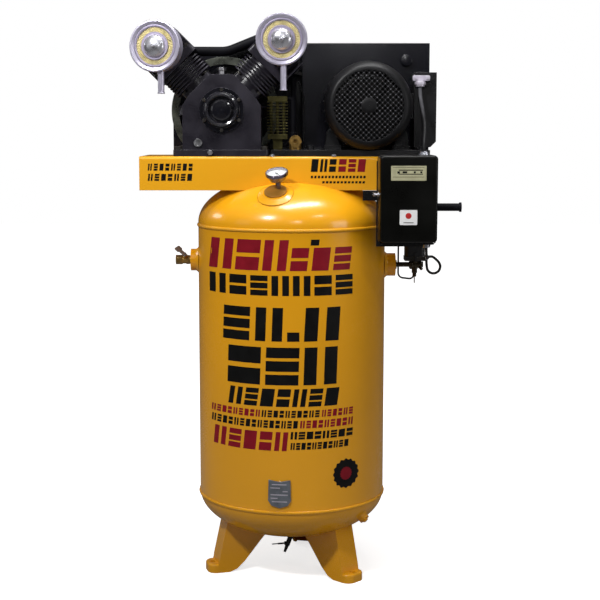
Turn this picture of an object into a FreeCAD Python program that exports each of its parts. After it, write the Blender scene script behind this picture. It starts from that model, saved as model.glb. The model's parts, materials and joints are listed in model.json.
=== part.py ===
import FreeCAD, Part

# Two-cylinder air compressor on a vertical receiver.  Millimetres, +Z up.
# Origin: centre of the three foot bolts, on the floor.  The front faces -Y.

import math
import os

V = FreeCAD.Vector
X_AXIS, Y_AXIS, Z_AXIS = V(1, 0, 0), V(0, 1, 0), V(0, 0, 1)
FIT = 0.05          # radial clearance of every running fit

# Receiver
TANK_R, WALL = 305.0, 5.0
SEAM_LOW, SEAM_TOP = 264.0, 1139.0
TOP_FLANGE, TOP_RISE = 14.0, 156.0
LOW_FLANGE, LOW_RISE = 2.0, 146.0
LEG_ANGLES = {"leg_front_left": 196.6, "leg_front_right": 316.6, "leg_rear": 76.6}
FOOT_R, FOOT_HOLE_R = 273.0, 9.0
LEG_HALF_WIDTH, LEG_SHEET = 41.0, 5.0

# Side, top and bottom ports
PORT_R, PORT_BORE_R = 36.0, 14.0
LEFT_PORT_Z, RIGHT_PORT_Z = 1028.0, 1012.0
TOP_PORT_RADIUS, TOP_PORT_ANGLE = 228.0, 257.5

# Platform
PLAT_X0, PLAT_X1, PLAT_Y = -479.0, 440.0, 160.0
PLAT_LOW, PLAT_TOP, PLAT_SHEET = 1262.0, 1368.0, 5.0

# Pump
PUMP_X, CRANK_Z = -221.0, 1513.0
CASE_FRONT, CASE_BACK = -120.0, 70.0
THROW, ROD_LENGTH = 34.0, 130.0
BORE_R, DECK = 47.5, 105.5
CYL_TOP, HEAD_TOP = 192.0, 285.0
CYL_Y = {"left": -50.0, "right": -10.0}
CYL_SIDE = {"left": -45.0, "right": 45.0}
JOURNAL_R, PIN_R = 20.0, 19.0

# Drive
WHEEL_R, WHEEL_Y0, WHEEL_Y1 = 178.0, 116.0, 162.0
PULLEY_R = 70.0
MOTOR_X, MOTOR_Z, MOTOR_R = 240.0, 1526.0, 132.0
SHAFT_R = 17.5
BELT_YS = (122.0, 141.0)
BELT_WIDTH, BELT_DEPTH, GROOVE_GAP = 12.0, 9.0, 0.5
GUARD_Y0, GUARD_Y1 = 98.0, 190.0

# Starter enclosure
BOX_X0, BOX_X1, BOX_Z0, BOX_Z1 = 270.0, 447.0, 1098.0, 1374.0
BOX_BACK, BOX_SPLIT, BOX_FRONT = -162.0, -250.0, -290.0

nodes = {}


# ---------------------------------------------------------------- helpers

def cyl(radius, height, base, axis=(0, 0, 1)):
    return Part.makeCylinder(radius, height, V(*base), V(*axis))


def ring(outer, inner, height, base, axis=(0, 0, 1)):
    return cyl(outer, height, base, axis).cut(cyl(inner, height, base, axis))


def box(x0, x1, y0, y1, z0, z1):
    return Part.makeBox(x1 - x0, y1 - y0, z1 - z0, V(x0, y0, z0))


def cone(r1, r2, height, base, axis=(0, 0, 1)):
    return Part.makeCone(r1, r2, height, V(*base), V(*axis))


def fuse(shapes):
    shapes = list(shapes)
    result = shapes[0]
    if len(shapes) > 1:
        result = result.multiFuse(shapes[1:])
    return result.removeSplitter()


def group(shapes):
    """Separate solids that share one node."""
    return Part.makeCompound(list(shapes))


def prism_y(points, y0, y1):
    """Outline of (x, z) points, extruded from y0 to y1."""
    pts = [V(x, y0, z) for x, z in points]
    return Part.Face(Part.makePolygon(pts + pts[:1])).extrude(V(0, y1 - y0, 0))


def lathe(points, base=(0, 0, 0), axis=(0, 0, 1)):
    """Turned solid: (radius, height) points about an axis through base."""
    pts = [V(r, 0, h) for r, h in points]
    solid = Part.Face(Part.makePolygon(pts + pts[:1])).revolve(V(), Z_AXIS, 360)
    solid = Part.Solid(solid.Shells[0]) if solid.ShapeType != "Solid" else solid
    return placed(solid, base, axis)


def placed(shape, base, axis=(0, 0, 1)):
    """Copy with local +Z turned to axis and the local origin moved to base."""
    copy = shape.copy()
    move = FreeCAD.Placement(V(*base), FreeCAD.Rotation(Z_AXIS, V(*axis)))
    copy.Placement = move.multiply(copy.Placement)
    return copy


def hexagon(across, height, base, axis=(0, 0, 1)):
    r = across / math.sqrt(3)
    pts = [V(r * math.cos(math.radians(60 * i)), r * math.sin(math.radians(60 * i)), 0)
           for i in range(6)]
    return placed(Part.Face(Part.makePolygon(pts + pts[:1])).extrude(V(0, 0, height)), base, axis)


def bolt(across, shank, length, base, axis):
    """Hex bolt whose head sits on base and whose shank runs against axis."""
    head = hexagon(across, across * 0.6, base, axis)
    down = V(*axis).multiply(-length)
    return fuse([head, Part.makeCylinder(shank, length, V(*base), down)])


def pipe(points, radius, bends, inner=0.0):
    """Round pipe: straight runs joined by tangent arcs of the given radii."""
    pts = [V(*p) for p in points]
    edges, start = [], pts[0]
    for before, corner, after, bend in zip(pts, pts[1:], pts[2:], bends):
        into = (corner - before).normalize()
        out = (after - corner).normalize()
        turn = into.getAngle(out)
        cut = bend * math.tan(turn / 2)
        first, last = corner - into * cut, corner + out * cut
        bisector = (out - into).normalize()
        middle = corner + bisector * (bend / math.cos(turn / 2) - bend)
        edges.append(Part.LineSegment(start, first).toShape())
        edges.append(Part.Arc(first, middle, last).toShape())
        start = last
    edges.append(Part.LineSegment(start, pts[-1]).toShape())
    path = Part.Wire(edges)
    begin = (pts[1] - pts[0]).normalize()

    def swept(r):
        profile = Part.Wire([Part.Circle(pts[0], begin, r).toShape()])
        return path.makePipeShell([profile], True, True)

    solid = swept(radius)
    ratio = solid.Volume / (math.pi * radius ** 2 * path.Length)
    print("pipe length %.1f, bends %s, volume ratio %.4f"
          % (path.Length, ["%.1f" % b for b in bends], ratio))
    return solid.cut(swept(inner)) if inner else solid


def natural_bends(points):
    """Arc radii: 0.45 of the shorter run over the tangent of half the turn."""
    radii = []
    for a, b, c in zip(points, points[1:], points[2:]):
        into, out = V(*b) - V(*a), V(*c) - V(*b)
        shorter = min(into.Length, out.Length)
        radii.append(0.45 * shorter / math.tan(into.getAngle(out) / 2))
    return radii


# ---------------------------------------------------------------- receiver

def head_profile_solid(radius, rise, flange):
    """Solid of half an ellipse with a straight flange below it."""
    arc = Part.ArcOfEllipse(Part.Ellipse(V(), radius, rise), 0, math.pi / 2).toShape()
    pts = [V(0, rise, 0), V(0, -flange, 0), V(radius, -flange, 0), V(radius, 0, 0)]
    lines = [Part.LineSegment(a, b).toShape() for a, b in zip(pts, pts[1:])]
    face = Part.Face(Part.Wire(Part.__sortEdges__([arc] + lines)))
    solid = face.revolve(V(), Y_AXIS, 360)
    solid.rotate(V(), X_AXIS, 90)
    return solid


def tank_head(rise, flange):
    """Dished head with its weld bead, seam at z = 0, dome upwards."""
    shell = head_profile_solid(TANK_R, rise, flange)
    shell = shell.cut(head_profile_solid(TANK_R - WALL, rise - WALL, flange))
    shell.translate(V(0, 0, flange))
    bead = lathe([(TANK_R - 2, 0), (TANK_R + 3, 1.5), (TANK_R + 4.2, 5.5), (TANK_R + 3, 9.5),
                  (TANK_R - 2, 12)])
    return fuse([shell, bead])


def outer_body():
    """Everything inside the receiver's outer surface."""
    low = head_profile_solid(TANK_R, LOW_RISE, LOW_FLANGE)
    low.rotate(V(), X_AXIS, 180)
    low.translate(V(0, 0, SEAM_LOW - LOW_FLANGE))
    high = head_profile_solid(TANK_R, TOP_RISE, TOP_FLANGE)
    high.translate(V(0, 0, SEAM_TOP + TOP_FLANGE))
    return low, high, cyl(TANK_R, SEAM_TOP - SEAM_LOW, (0, 0, SEAM_LOW))


def dome_point(radius, angle):
    """Point on the top head and the outward normal there."""
    drop = math.sqrt(1 - (radius / TANK_R) ** 2)
    z = SEAM_TOP + TOP_FLANGE + TOP_RISE * drop
    tilt = math.atan2(radius * TOP_RISE, TANK_R ** 2 * drop)
    ca, sa = math.cos(math.radians(angle)), math.sin(math.radians(angle))
    point = V(radius * ca, radius * sa, z)
    normal = V(math.sin(tilt) * ca, math.sin(tilt) * sa, math.cos(tilt))
    return point, normal


def port(base, axis, outer, bore, inward, outward):
    """Welded coupling with a fillet weld round its foot."""
    start = V(*base) - V(*axis) * inward
    body = ring(outer, bore, inward + outward, tuple(start), tuple(axis))
    weld = cone(outer + 8, outer, 9, tuple(V(*base) - V(*axis) * 1.5), tuple(axis))
    return fuse([body, weld.cut(cyl(outer - 1, 60, tuple(start), tuple(axis)))])


def receiver():
    low_body, high_body, middle = outer_body()
    top_point, top_normal = dome_point(TOP_PORT_RADIUS, TOP_PORT_ANGLE)
    drain_z = SEAM_LOW - LOW_FLANGE - LOW_RISE
    side_low = V(228, -173, 211)
    side_dir = V(0.62, -0.47, -0.63).normalize()

    left = port((-TANK_R, 0, LEFT_PORT_Z), (-1, 0, 0), PORT_R, PORT_BORE_R, 12, 25)
    right = port((TANK_R, 0, RIGHT_PORT_Z), (1, 0, 0), PORT_R + 1.5, PORT_BORE_R, 12, 35)
    top_foot = top_point - top_normal * 14
    top = ring(42.0, 28.05, 18, tuple(top_foot), tuple(top_normal))
    top_weld = cone(62, 43, 9, tuple(top_point - top_normal * 6), tuple(top_normal))
    top = fuse([top, top_weld.cut(Part.makeCylinder(41, 60, top_foot, top_normal))])
    drain = fuse([ring(17.0, 9.0, 20, (0, 0, drain_z - 8)),
                  cone(20, 25, 5, (0, 0, drain_z - 5.05)).cut(cyl(9.0, 40, (0, 0, drain_z - 20)))])
    corner = port(tuple(side_low - side_dir * 6), tuple(side_dir), 17.0, 9.0, 22, 20)
    corner_plug = hexagon(16, 6, tuple(side_low + side_dir * 14), tuple(side_dir))
    corner_plug = fuse([corner_plug, Part.makeCylinder(9.0 - FIT, 12, side_low + side_dir * 14,
                                                       side_dir * -1)])

    shell = ring(TANK_R, TANK_R - WALL, SEAM_TOP - SEAM_LOW, (0, 0, SEAM_LOW))
    cuts = [cyl(PORT_R, 60, (-TANK_R + 40, 0, LEFT_PORT_Z), (-1, 0, 0)),
            cyl(PORT_R + 1.5, 60, (TANK_R - 40, 0, RIGHT_PORT_Z), (1, 0, 0))]
    nodes["tank_shell"] = shell.cut(cuts[0]).cut(cuts[1])

    upper = tank_head(TOP_RISE, TOP_FLANGE)
    upper.translate(V(0, 0, SEAM_TOP))
    upper = upper.cut(Part.makeCylinder(42.0, 60, top_point - top_normal * 30, top_normal))
    lower = tank_head(LOW_RISE, LOW_FLANGE)
    lower.rotate(V(), X_AXIS, 180)
    lower.translate(V(0, 0, SEAM_LOW))
    lower = lower.cut(cyl(17, 60, (0, 0, drain_z - 30)))
    lower = lower.cut(Part.makeCylinder(17.0, 70, side_low - side_dir * 40, side_dir))
    nodes["top_head"], nodes["bottom_head"] = upper, lower

    left = left.cut(middle.cut(cyl(PORT_R, 60, (-TANK_R + 40, 0, LEFT_PORT_Z), (-1, 0, 0))))
    right = right.cut(middle.cut(cyl(PORT_R + 1.5, 60, (TANK_R - 40, 0, RIGHT_PORT_Z), (1, 0, 0))))
    top = top.cut(high_body.cut(Part.makeCylinder(42.0, 60, top_point - top_normal * 30,
                                                  top_normal)))
    corner = corner.cut(low_body.cut(Part.makeCylinder(17.0, 70, side_low - side_dir * 40,
                                                       side_dir)))
    nodes["tank_ports"] = group([left, right, top, drain, corner, corner_plug])
    return top_point, top_normal, drain_z


def leg(angle):
    """Pressed channel leg with a bolted foot, cut to the lower head."""
    r_out = FOOT_R + 20
    side = [(228, 190), (259, 47), (262, 29), (r_out, 29), (r_out, 0), (224, 0), (200, 9),
            (175, 32), (147, 66), (121, 98), (100, 122), (98, 180)]
    t = LEG_HALF_WIDTH
    outer = prism_y(side, -t, t)
    nose = [e for e in outer.Edges if abs(e.Length - 29) < 0.01
            and abs(e.CenterOfMass.x - r_out) < 0.01]
    outer = outer.makeFillet(28, nose)
    rim = [e for e in outer.Edges if abs(e.CenterOfMass.z - 29) < 0.01 and e.CenterOfMass.x > 263]
    outer = outer.makeFillet(7, rim)
    s = LEG_SHEET
    hollow = prism_y([(220, 195), (253, 46), (256, 29 - s), (r_out - s, 29 - s), (r_out - s, s),
                      (240, s), (240, -5), (80, -5), (80, 195)], -t + s, t - s)
    nose_in = [e for e in hollow.Edges if abs(e.Length - (29 - 2 * s)) < 0.01
               and abs(e.CenterOfMass.x - (r_out - s)) < 0.01]
    hollow = hollow.makeFillet(23, nose_in)
    body = fuse([outer.cut(hollow), cyl(16, 29, (FOOT_R, 0, 0))])
    body = body.cut(cyl(FOOT_HOLE_R, 40, (FOOT_R, 0, -5)))
    body.rotate(V(), Z_AXIS, angle)
    low_body, _, middle = outer_body()
    return body.cut(low_body).cut(middle)


def top_fittings(point, normal):
    """Plug in the top port and the pressure gauge screwed into it, leaning back a little."""
    lean = (normal + V(0, 0.14, 0)).normalize()
    across = V(normal.y, -normal.x, 0).normalize()
    uphill = across.cross(normal)
    if uphill.z < 0:
        uphill = uphill * -1
    seat = point + normal * 4
    plug = fuse([Part.makeCylinder(35, 5, seat, normal), Part.makeCylinder(28, 18, seat, normal * -1)])
    stem_foot = seat + normal * 5 + uphill * 16 - across * 7.5
    plug = plug.cut(Part.makeCylinder(6.5, 40, stem_foot + lean * 10, lean * -1))
    nodes["top_plug"] = plug

    foot, axis = tuple(stem_foot), tuple(lean)
    stem = Part.makeCylinder(6.5 - FIT, 36, stem_foot - lean * 8, lean)
    flats = hexagon(15, 9, tuple(stem_foot + lean * 8), axis)
    cup = lathe([(0, 27), (23, 27), (25, 29), (31, 43), (35.5, 45), (35.5, 54), (33, 56),
                 (33, 53), (32, 53), (32, 46), (29, 46), (28, 42), (0, 42)], foot, axis)
    nodes["gauge_case"] = fuse([stem, flats, cup])
    nodes["gauge_dial"] = Part.makeCylinder(31.8, 1.0, stem_foot + lean * 46, lean)
    nodes["gauge_lens"] = Part.makeCylinder(32.5, 1.6, stem_foot + lean * 53, lean)
    centre = stem_foot + lean * 47.3
    up_dial = across.cross(lean)
    if up_dial.z < 0:
        up_dial = up_dial * -1
    zero_mark = across * -1 + up_dial * -1
    zero_mark = (zero_mark - lean * zero_mark.dot(lean)).normalize()
    pointer = Part.makeCylinder(1.0, 24, centre + lean * 1.2, zero_mark)
    tail = Part.makeCylinder(1.6, 8, centre + lean * 1.7, zero_mark * -1)
    nodes["gauge_needle"] = fuse([Part.makeCylinder(3, 3.5, centre, lean), pointer, tail])
    return centre, lean


def drain_cock(drain_z):
    start = V(0, 0, drain_z - 16)
    down = V(-0.36, -0.22, -0.91).normalize()
    shank = cyl(9.0 - FIT, 26, (0, 0, drain_z - 18))
    body = Part.makeCylinder(8, 44, start - down * 2, down)
    nut = hexagon(19, 10, tuple(start + down * 6), tuple(down))
    spout = Part.makeCone(6.5, 4.2, 24, start + down * 42, down)
    side = V(-0.985, 0.08, -0.10).normalize()
    boss_at = start + down * 34
    boss = Part.makeCylinder(6.5, 12, boss_at, side)
    body = fuse([shank, body, nut, spout, boss])
    body = body.cut(Part.makeCylinder(2.5, 80, start + down * 6, down))
    body = body.cut(Part.makeCylinder(3 + FIT, 30, boss_at + side * 3, side))
    nodes["drain_cock_body"] = body
    stem = Part.makeCylinder(3, 30, boss_at + side * 4, side)
    across = side.cross(down).normalize()
    wing = Part.makeBox(22, 24, 3.2, V(-11, -1, -1.6))
    wing = wing.makeFillet(5, [e for e in wing.Edges if abs(e.Length - 3.2) < 0.01
                               and e.CenterOfMass.y > 0])
    wing.Placement = FreeCAD.Placement(boss_at + side * 31, FreeCAD.Rotation(
        across, side, across.cross(side), "XYZ"))
    nodes["drain_cock_wing"] = fuse([stem, wing])
    return boss_at, side


def outlet_valve():
    """Ball valve on the left port; the stem leans up and to the front."""
    z = LEFT_PORT_Z
    valve_x = -350.0

    def lean(shape):
        shape.rotate(V(valve_x, 0, z), X_AXIS, -45)
        return shape

    shank = cyl(PORT_BORE_R - FIT, 34, (-TANK_R + 4, 0, z), (-1, 0, 0))
    hex_mid = hexagon(26, 12, (-TANK_R - 29, 0, z), (-1, 0, 0))
    barrel = cyl(13.0, 22, (valve_x + 11, 0, z), (-1, 0, 0))
    mouth = hexagon(27, 22, (valve_x - 8, 0, z), (-1, 0, 0))
    neck = lean(cyl(7, 18, (valve_x, -4, z), (0, -1, 0)))
    body = fuse([shank, hex_mid, barrel, mouth, neck])
    body = body.cut(cyl(9.3, 16, (valve_x - 14, 0, z), (-1, 0, 0)))
    body = body.cut(cyl(7.0, 70, (-TANK_R + 5, 0, z), (-1, 0, 0)))
    body = body.cut(Part.makeSphere(10.5 + FIT, V(valve_x, 0, z)))
    body = body.cut(lean(cyl(4.0 + FIT, 30, (valve_x, 0, z), (0, -1, 0))))
    nodes["outlet_valve_body"] = body
    ball = Part.makeSphere(10.5, V(valve_x, 0, z)).cut(cyl(6.5, 30, (valve_x + 15, 0, z), (-1, 0, 0)))
    stem = cyl(4.0, 22, (valve_x, -8, z), (0, -1, 0))
    plate = box(-38, 8, -27, -24.5, -6, 6)
    tip = box(-42, -22, -27.6, -24.5, -10, 10)
    tip = tip.makeFillet(4, [e for e in tip.Edges if abs(e.Length - 3.1) < 0.01])
    nut = hexagon(11, 4, (0, -27, 0), (0, -1, 0))
    lever = fuse([plate, tip, nut])
    lever.rotate(V(), Y_AXIS, 48)
    lever.translate(V(valve_x, 0, z))
    nodes["outlet_valve_lever"] = fuse([ball, lean(stem), lean(lever)])
    return valve_x


# ---------------------------------------------------------------- platform

def platform():
    sheet = PLAT_SHEET
    outer = box(PLAT_X0, PLAT_X1, -PLAT_Y, PLAT_Y, PLAT_LOW, PLAT_TOP)
    length = PLAT_X1 - PLAT_X0
    top_edges = [e for e in outer.Edges if abs(e.Length - length) < 0.01
                 and e.CenterOfMass.z > PLAT_TOP - 1]
    outer = outer.makeFillet(9, top_edges)
    inner = box(PLAT_X0 - 5, PLAT_X1 + 5, -PLAT_Y + sheet, PLAT_Y - sheet,
                PLAT_LOW - 5, PLAT_TOP - sheet)
    channel = outer.cut(inner).cut(outer_body()[1])
    for x, y in pump_foot_bolts() + motor_base_bolts():
        channel = channel.cut(cyl(6.5, 30, (x, y, PLAT_TOP - 15)))
    channel = channel.cut(box(-345, -50, 108, PLAT_Y + 10, 1326, PLAT_TOP + 10))
    channel = channel.cut(cyl(16, 30, (12, -70, PLAT_TOP - 15)))
    channel = channel.cut(cyl(7, 30, (40, 30, PLAT_TOP - 15)))
    nodes["platform"] = channel


def pump_foot_bolts():
    return [(x, y) for x in (-359.0, -86.0) for y in (-132.0, 74.0)]


def motor_base_bolts():
    return [(x, y) for x in (60.0, 410.0) for y in (-132.0, 84.0)]


def nameplate():
    """Shield-shaped plate curved to the receiver, held off by a bracket."""
    outline = [(-72, 366), (-74, 300), (-64, 284), (-38, 276), (-12, 284), (-2, 300), (-4, 366),
               (-38, 360)]
    band = ring(TANK_R + 5.5, TANK_R + 4, 200, (0, 0, 240))
    rim = ring(TANK_R + 4, TANK_R, 200, (0, 0, 240))
    plate = prism_y(outline, -TANK_R - 30, 0).common(band)
    foot = box(-66, -10, -TANK_R - 30, 0, 296, 352).common(rim)
    nodes["tank_nameplate"] = fuse([plate, foot])


# ---------------------------------------------------------------- pump

def on_cylinder(shape, side):
    """Local frame (z out along the bore, y along the crank) to the pump."""
    copy = shape.copy()
    move = FreeCAD.Placement(V(PUMP_X, CYL_Y[side], CRANK_Z),
                             FreeCAD.Rotation(Y_AXIS, CYL_SIDE[side]))
    copy.Placement = move.multiply(copy.Placement)
    return copy


def crank_point(side, x, y, z):
    turn = FreeCAD.Rotation(Y_AXIS, CYL_SIDE[side])
    return V(PUMP_X, CYL_Y[side], CRANK_Z) + turn.multVec(V(x, y, z))


def case_outline(inset):
    """Half-octagon front outline of the crankcase, about the crank."""
    half, low, deck_x = 124 - inset, -125 + inset, 37.5
    rise = math.sqrt(2) * (DECK - inset)
    deck_x -= inset * 0.4
    shoulder = 101 - inset
    pts = [(half, low), (half, 14), (shoulder, rise - shoulder), (deck_x, rise - deck_x)]
    mirrored = [(-x, z) for x, z in reversed(pts)]
    return [(PUMP_X + x, CRANK_Z + z) for x, z in pts + mirrored]


def crankcase():
    body = prism_y(case_outline(0), CASE_FRONT, CASE_BACK)
    flange = box(-373, -72, -150, 92, PLAT_TOP, PLAT_TOP + 20)
    flange = flange.makeFillet(12, [e for e in flange.Edges if abs(e.Length - 20) < 0.01])
    body = fuse([body, flange])
    body = body.cut(prism_y(case_outline(9), CASE_FRONT + 9, CASE_BACK - 9))
    boss = cyl(54, 26, (PUMP_X, CASE_BACK - 9, CRANK_Z), (0, 1, 0))
    body = fuse([body, boss])
    body = body.cut(cyl(66, 40, (PUMP_X, CASE_FRONT - 20, CRANK_Z), (0, 1, 0)))
    body = body.cut(cyl(46, 19, (PUMP_X, CASE_BACK - 12, CRANK_Z), (0, 1, 0)))
    body = body.cut(cyl(26, 60, (PUMP_X, CASE_BACK - 12, CRANK_Z), (0, 1, 0)))
    for side in CYL_Y:
        outboard = 32 if side == "right" else -32
        opening = cyl(46, 40, (0, 0, DECK - 30)).common(
            box(min(-outboard * 1.6, outboard), max(-outboard * 1.6, outboard), -50, 50, 60, 130))
        body = body.cut(on_cylinder(opening, side))
    for x, y in pump_foot_bolts():
        body = body.cut(cyl(6.5, 40, (x, y, PLAT_TOP - 5)))
    body = body.cut(cyl(9, 40, (-296, CASE_FRONT - 10, 1410), (0, 1, 0)))
    body = body.cut(cyl(7, 30, (-256, -160, 1380), (0, 1, 0)))
    nodes["crankcase"] = body

    cover = lathe([(22, 0), (70, 0), (70, 7), (57, 7), (56.5, 13), (55, 18), (52, 22), (48, 24),
                   (44, 22.5), (41, 18), (39.5, 11), (38, 8), (35, 8), (34, 13), (32, 17),
                   (28, 19), (12, 20.5), (0, 21), (0, 10), (22, 10)],
                  (PUMP_X, CASE_FRONT, CRANK_Z), (0, -1, 0))
    spigot = ring(66 - FIT, 42, 16, (PUMP_X, CASE_FRONT, CRANK_Z), (0, 1, 0))
    nodes["front_cover"] = fuse([cover, spigot])

    plug = bolt(15, 7 - FIT, 14, (-256, -150, 1380), (0, -1, 0))
    glass = fuse([cyl(9 - FIT, 12, (-296, CASE_FRONT - 2, 1410), (0, 1, 0)),
                  ring(13, 8, 5, (-296, CASE_FRONT - 5, 1410), (0, 1, 0)),
                  cyl(8.5, 3, (-296, CASE_FRONT - 3.5, 1410), (0, 1, 0))])
    filler = fuse([cyl(11, 16, (PUMP_X, -100, CRANK_Z + 2 * 55)),
                   hexagon(26, 9, (PUMP_X, -100, CRANK_Z + 2 * 55 + 14))])
    filler = filler.cut(prism_y(case_outline(0), CASE_FRONT, CASE_BACK))
    nodes["crankcase_plugs"] = group([plug, glass, filler])


def crank_train():
    y_front, y_back = -112.0, 164.0
    pin_z = CRANK_Z + THROW

    def along(radius, y0, y1, z=CRANK_Z):
        return cyl(radius, y1 - y0, (PUMP_X, y0, z), (0, 1, 0))

    webs = []
    for y0, y1 in ((-85, -70), (12, 27)):
        webs.append(fuse([along(34, y0, y1), along(28, y0, y1, pin_z),
                          prism_y([(PUMP_X - 34, CRANK_Z), (PUMP_X + 34, CRANK_Z),
                                   (PUMP_X + 50, CRANK_Z - 42), (PUMP_X, CRANK_Z - 60),
                                   (PUMP_X - 50, CRANK_Z - 42)], y0, y1)]))
    nodes["crankshaft"] = fuse([along(JOURNAL_R, y_front, -85), along(PIN_R, -70, 12, pin_z),
                                along(JOURNAL_R + 2, 27, 96), along(JOURNAL_R, 96, y_back)] + webs)
    front = ring(42 - 0.01, JOURNAL_R + FIT, 16, (PUMP_X, -112, CRANK_Z), (0, 1, 0))
    back = ring(46 - 0.01, JOURNAL_R + 2 + FIT, 18, (PUMP_X, CASE_BACK - 12, CRANK_Z), (0, 1, 0))
    nodes["crank_bearings"] = group([front, back])

    pieces = []
    offset = THROW * math.sin(math.radians(45))
    wrist = offset + math.sqrt(ROD_LENGTH ** 2 - offset ** 2)
    for side in CYL_Y:
        y = CYL_Y[side]
        top = crank_point(side, 0, 0, wrist)
        low = V(PUMP_X, y, pin_z)
        lean = (top - low).normalize()
        shank = Part.makeCylinder(8, ROD_LENGTH - 36, low + lean * 24, lean)
        rod = fuse([along(29, y - 9, y + 9, pin_z), shank,
                    Part.makeCylinder(15, 18, top - Y_AXIS * 9, Y_AXIS)])
        # The linkage is open here: the big end is cut back to clear the crank pin's whole path.
        rod = rod.cut(along(THROW + PIN_R + 1, y - 12, y + 12))
        rod = rod.cut(Part.makeCylinder(9, 20, top - Y_AXIS * 10, Y_AXIS))
        piston = cyl(BORE_R - FIT, 50, (0, 0, wrist - 28))
        piston = piston.cut(cyl(40, 44, (0, 0, wrist - 30)))
        piston = fuse([piston, cyl(13, 30, (0, -42, wrist), (0, 1, 0)),
                       cyl(13, 30, (0, 12, wrist), (0, 1, 0))])
        piston = piston.cut(cyl(9, 100, (0, -50, wrist), (0, 1, 0)))
        for i in range(3):
            groove = 12 + 5 * i
            piston = piston.cut(ring(BORE_R + 1, 45, 1.6, (0, 0, wrist + groove - 6)))
        pieces += [rod, on_cylinder(piston, side),
                   on_cylinder(cyl(9, 84, (0, -42, wrist), (0, 1, 0)), side)]
    nodes["pistons_and_rods"] = group(pieces)


def cylinder_barrel():
    """Finned barrel in the cylinder's local frame."""
    foot = box(-52, 52, -52, 52, DECK, DECK + 12)
    foot = foot.makeFillet(8, [e for e in foot.Edges if abs(e.Length - 12) < 0.01])
    parts = [foot, cyl(56, CYL_TOP - DECK, (0, 0, DECK))]
    for i in range(6):
        z = DECK + 21 + 10.5 * i
        fin = box(-70, 70, -64, 64, z, z + 4)
        parts.append(fin.makeFillet(22, [e for e in fin.Edges if abs(e.Length - 4) < 0.01]))
    return fuse(parts).cut(cyl(BORE_R, 100, (0, 0, DECK - 2)))


def cylinder_head():
    """Finned head: bolt slab, two port chambers and lengthwise fins."""
    slab = box(-78, 78, -72, 72, CYL_TOP, CYL_TOP + 24)
    slab = slab.makeFillet(10, [e for e in slab.Edges if abs(e.Length - 24) < 0.01])
    chamber = box(-64, 64, -60, 60, CYL_TOP + 24, HEAD_TOP - 16)
    chamber = chamber.makeFillet(14, [e for e in chamber.Edges
                                      if abs(e.Length - (HEAD_TOP - CYL_TOP - 40)) < 0.01])
    parts = [slab, chamber]
    for i in range(11):
        x = -77.5 + 15 * i
        parts.append(box(x, x + 5, -70, 70, CYL_TOP + 20, HEAD_TOP))
    parts.append(box(-74, 74, -16, 16, CYL_TOP + 20, HEAD_TOP - 8))
    intake = cyl(22, 20, (0, -72, CYL_TOP + 62), (0, 1, 0))
    return fuse(parts + [intake])


def head_bolt_places():
    return [(x, y) for x in (-66, 0, 66) for y in (-62, 62)]


def pump_top():
    for side in CYL_Y:
        barrel = on_cylinder(cylinder_barrel(), side)
        barrel = barrel.cut(cyl(17, 80, (-330, -50, 1699), (1, 0.064, 0)))
        nodes["cylinder_" + side] = barrel
        head = cylinder_head()
        for x, y in head_bolt_places():
            head = head.cut(cyl(11, 90, (x, y, CYL_TOP + 24)))
        nodes["head_" + side] = on_cylinder(head, side)

    bolts = []
    for side in CYL_Y:
        bolts += [on_cylinder(hexagon(16, 10, (x, y, CYL_TOP + 24)), side)
                  for x, y in head_bolt_places()]
        bolts += [on_cylinder(hexagon(13, 7, (x, y, DECK + 12)), side)
                  for x in (-45, 45) for y in (-45, 45)]
    for x, y in pump_foot_bolts():
        bolts.append(bolt(19, 6.0, 30, (x, y, PLAT_TOP + 20), (0, 0, 1)))
    for i in range(6):
        a = math.radians(30 + 60 * i)
        spot = (PUMP_X + 63.5 * math.cos(a), CASE_FRONT - 7, CRANK_Z + 63.5 * math.sin(a))
        bolts.append(hexagon(10, 6, spot, (0, -1, 0)))
    nodes["pump_fasteners"] = group(bolts)


FILTERS = {"left": ((-421, -208, 1707), (-0.17, -0.98, 0.03), (-403, -196)),
           "right": ((-31, -208, 1727), (-0.05, -0.99, -0.10), (-25, -190))}


def intake_filters():
    """Open-fronted cans: pleated ring, domed cap and a drop tube below."""
    cans, elements, caps = [], [], []
    for side, (centre, facing, drop) in FILTERS.items():
        facing = tuple(V(*facing).normalize())
        can = lathe([(0, -66), (60, -66), (74, -60), (76, -54), (76, -4), (79, -3), (80, 0),
                     (79, 2.5), (75, 3), (66, 0), (66, -4), (72, -6), (72, -52), (60, -60),
                     (0, -60)], centre, facing)
        neck = Part.makeCylinder(17, 34, V(*centre) - V(*facing) * 62, V(*facing) * -1)
        low_end = 1562 if side == "left" else 1572
        tube = ring(10, 8.4, centre[2] - 62 - low_end, (drop[0], drop[1], low_end))
        lip = ring(11.5, 8.4, 4, (drop[0], drop[1], low_end))
        inside = Part.makeCylinder(70, 100, V(*centre) - V(*facing) * 59, V(*facing))
        can = fuse([can, neck, tube.cut(inside), lip])
        head = nodes["head_" + side]
        cans.append(can.cut(head))
        elements.append(lathe([(46, -56), (65.5, -56), (65.5, -2), (46, -2)], centre, facing))
        caps.append(lathe([(0, -1), (34, -2), (46, -2), (47, 0.5), (36, 2), (35, 4), (32, 11),
                           (24, 18), (12, 22), (5, 23), (5, 29), (0, 29)], centre, facing))
        caps.append(Part.makeCylinder(4, 55, V(*centre) - V(*facing) * 58, V(*facing)))
    nodes["filter_cans"] = group(cans)
    nodes["filter_elements"] = group(elements)
    nodes["filter_caps"] = group([fuse(caps[0:2]), fuse(caps[2:4])])


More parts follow.
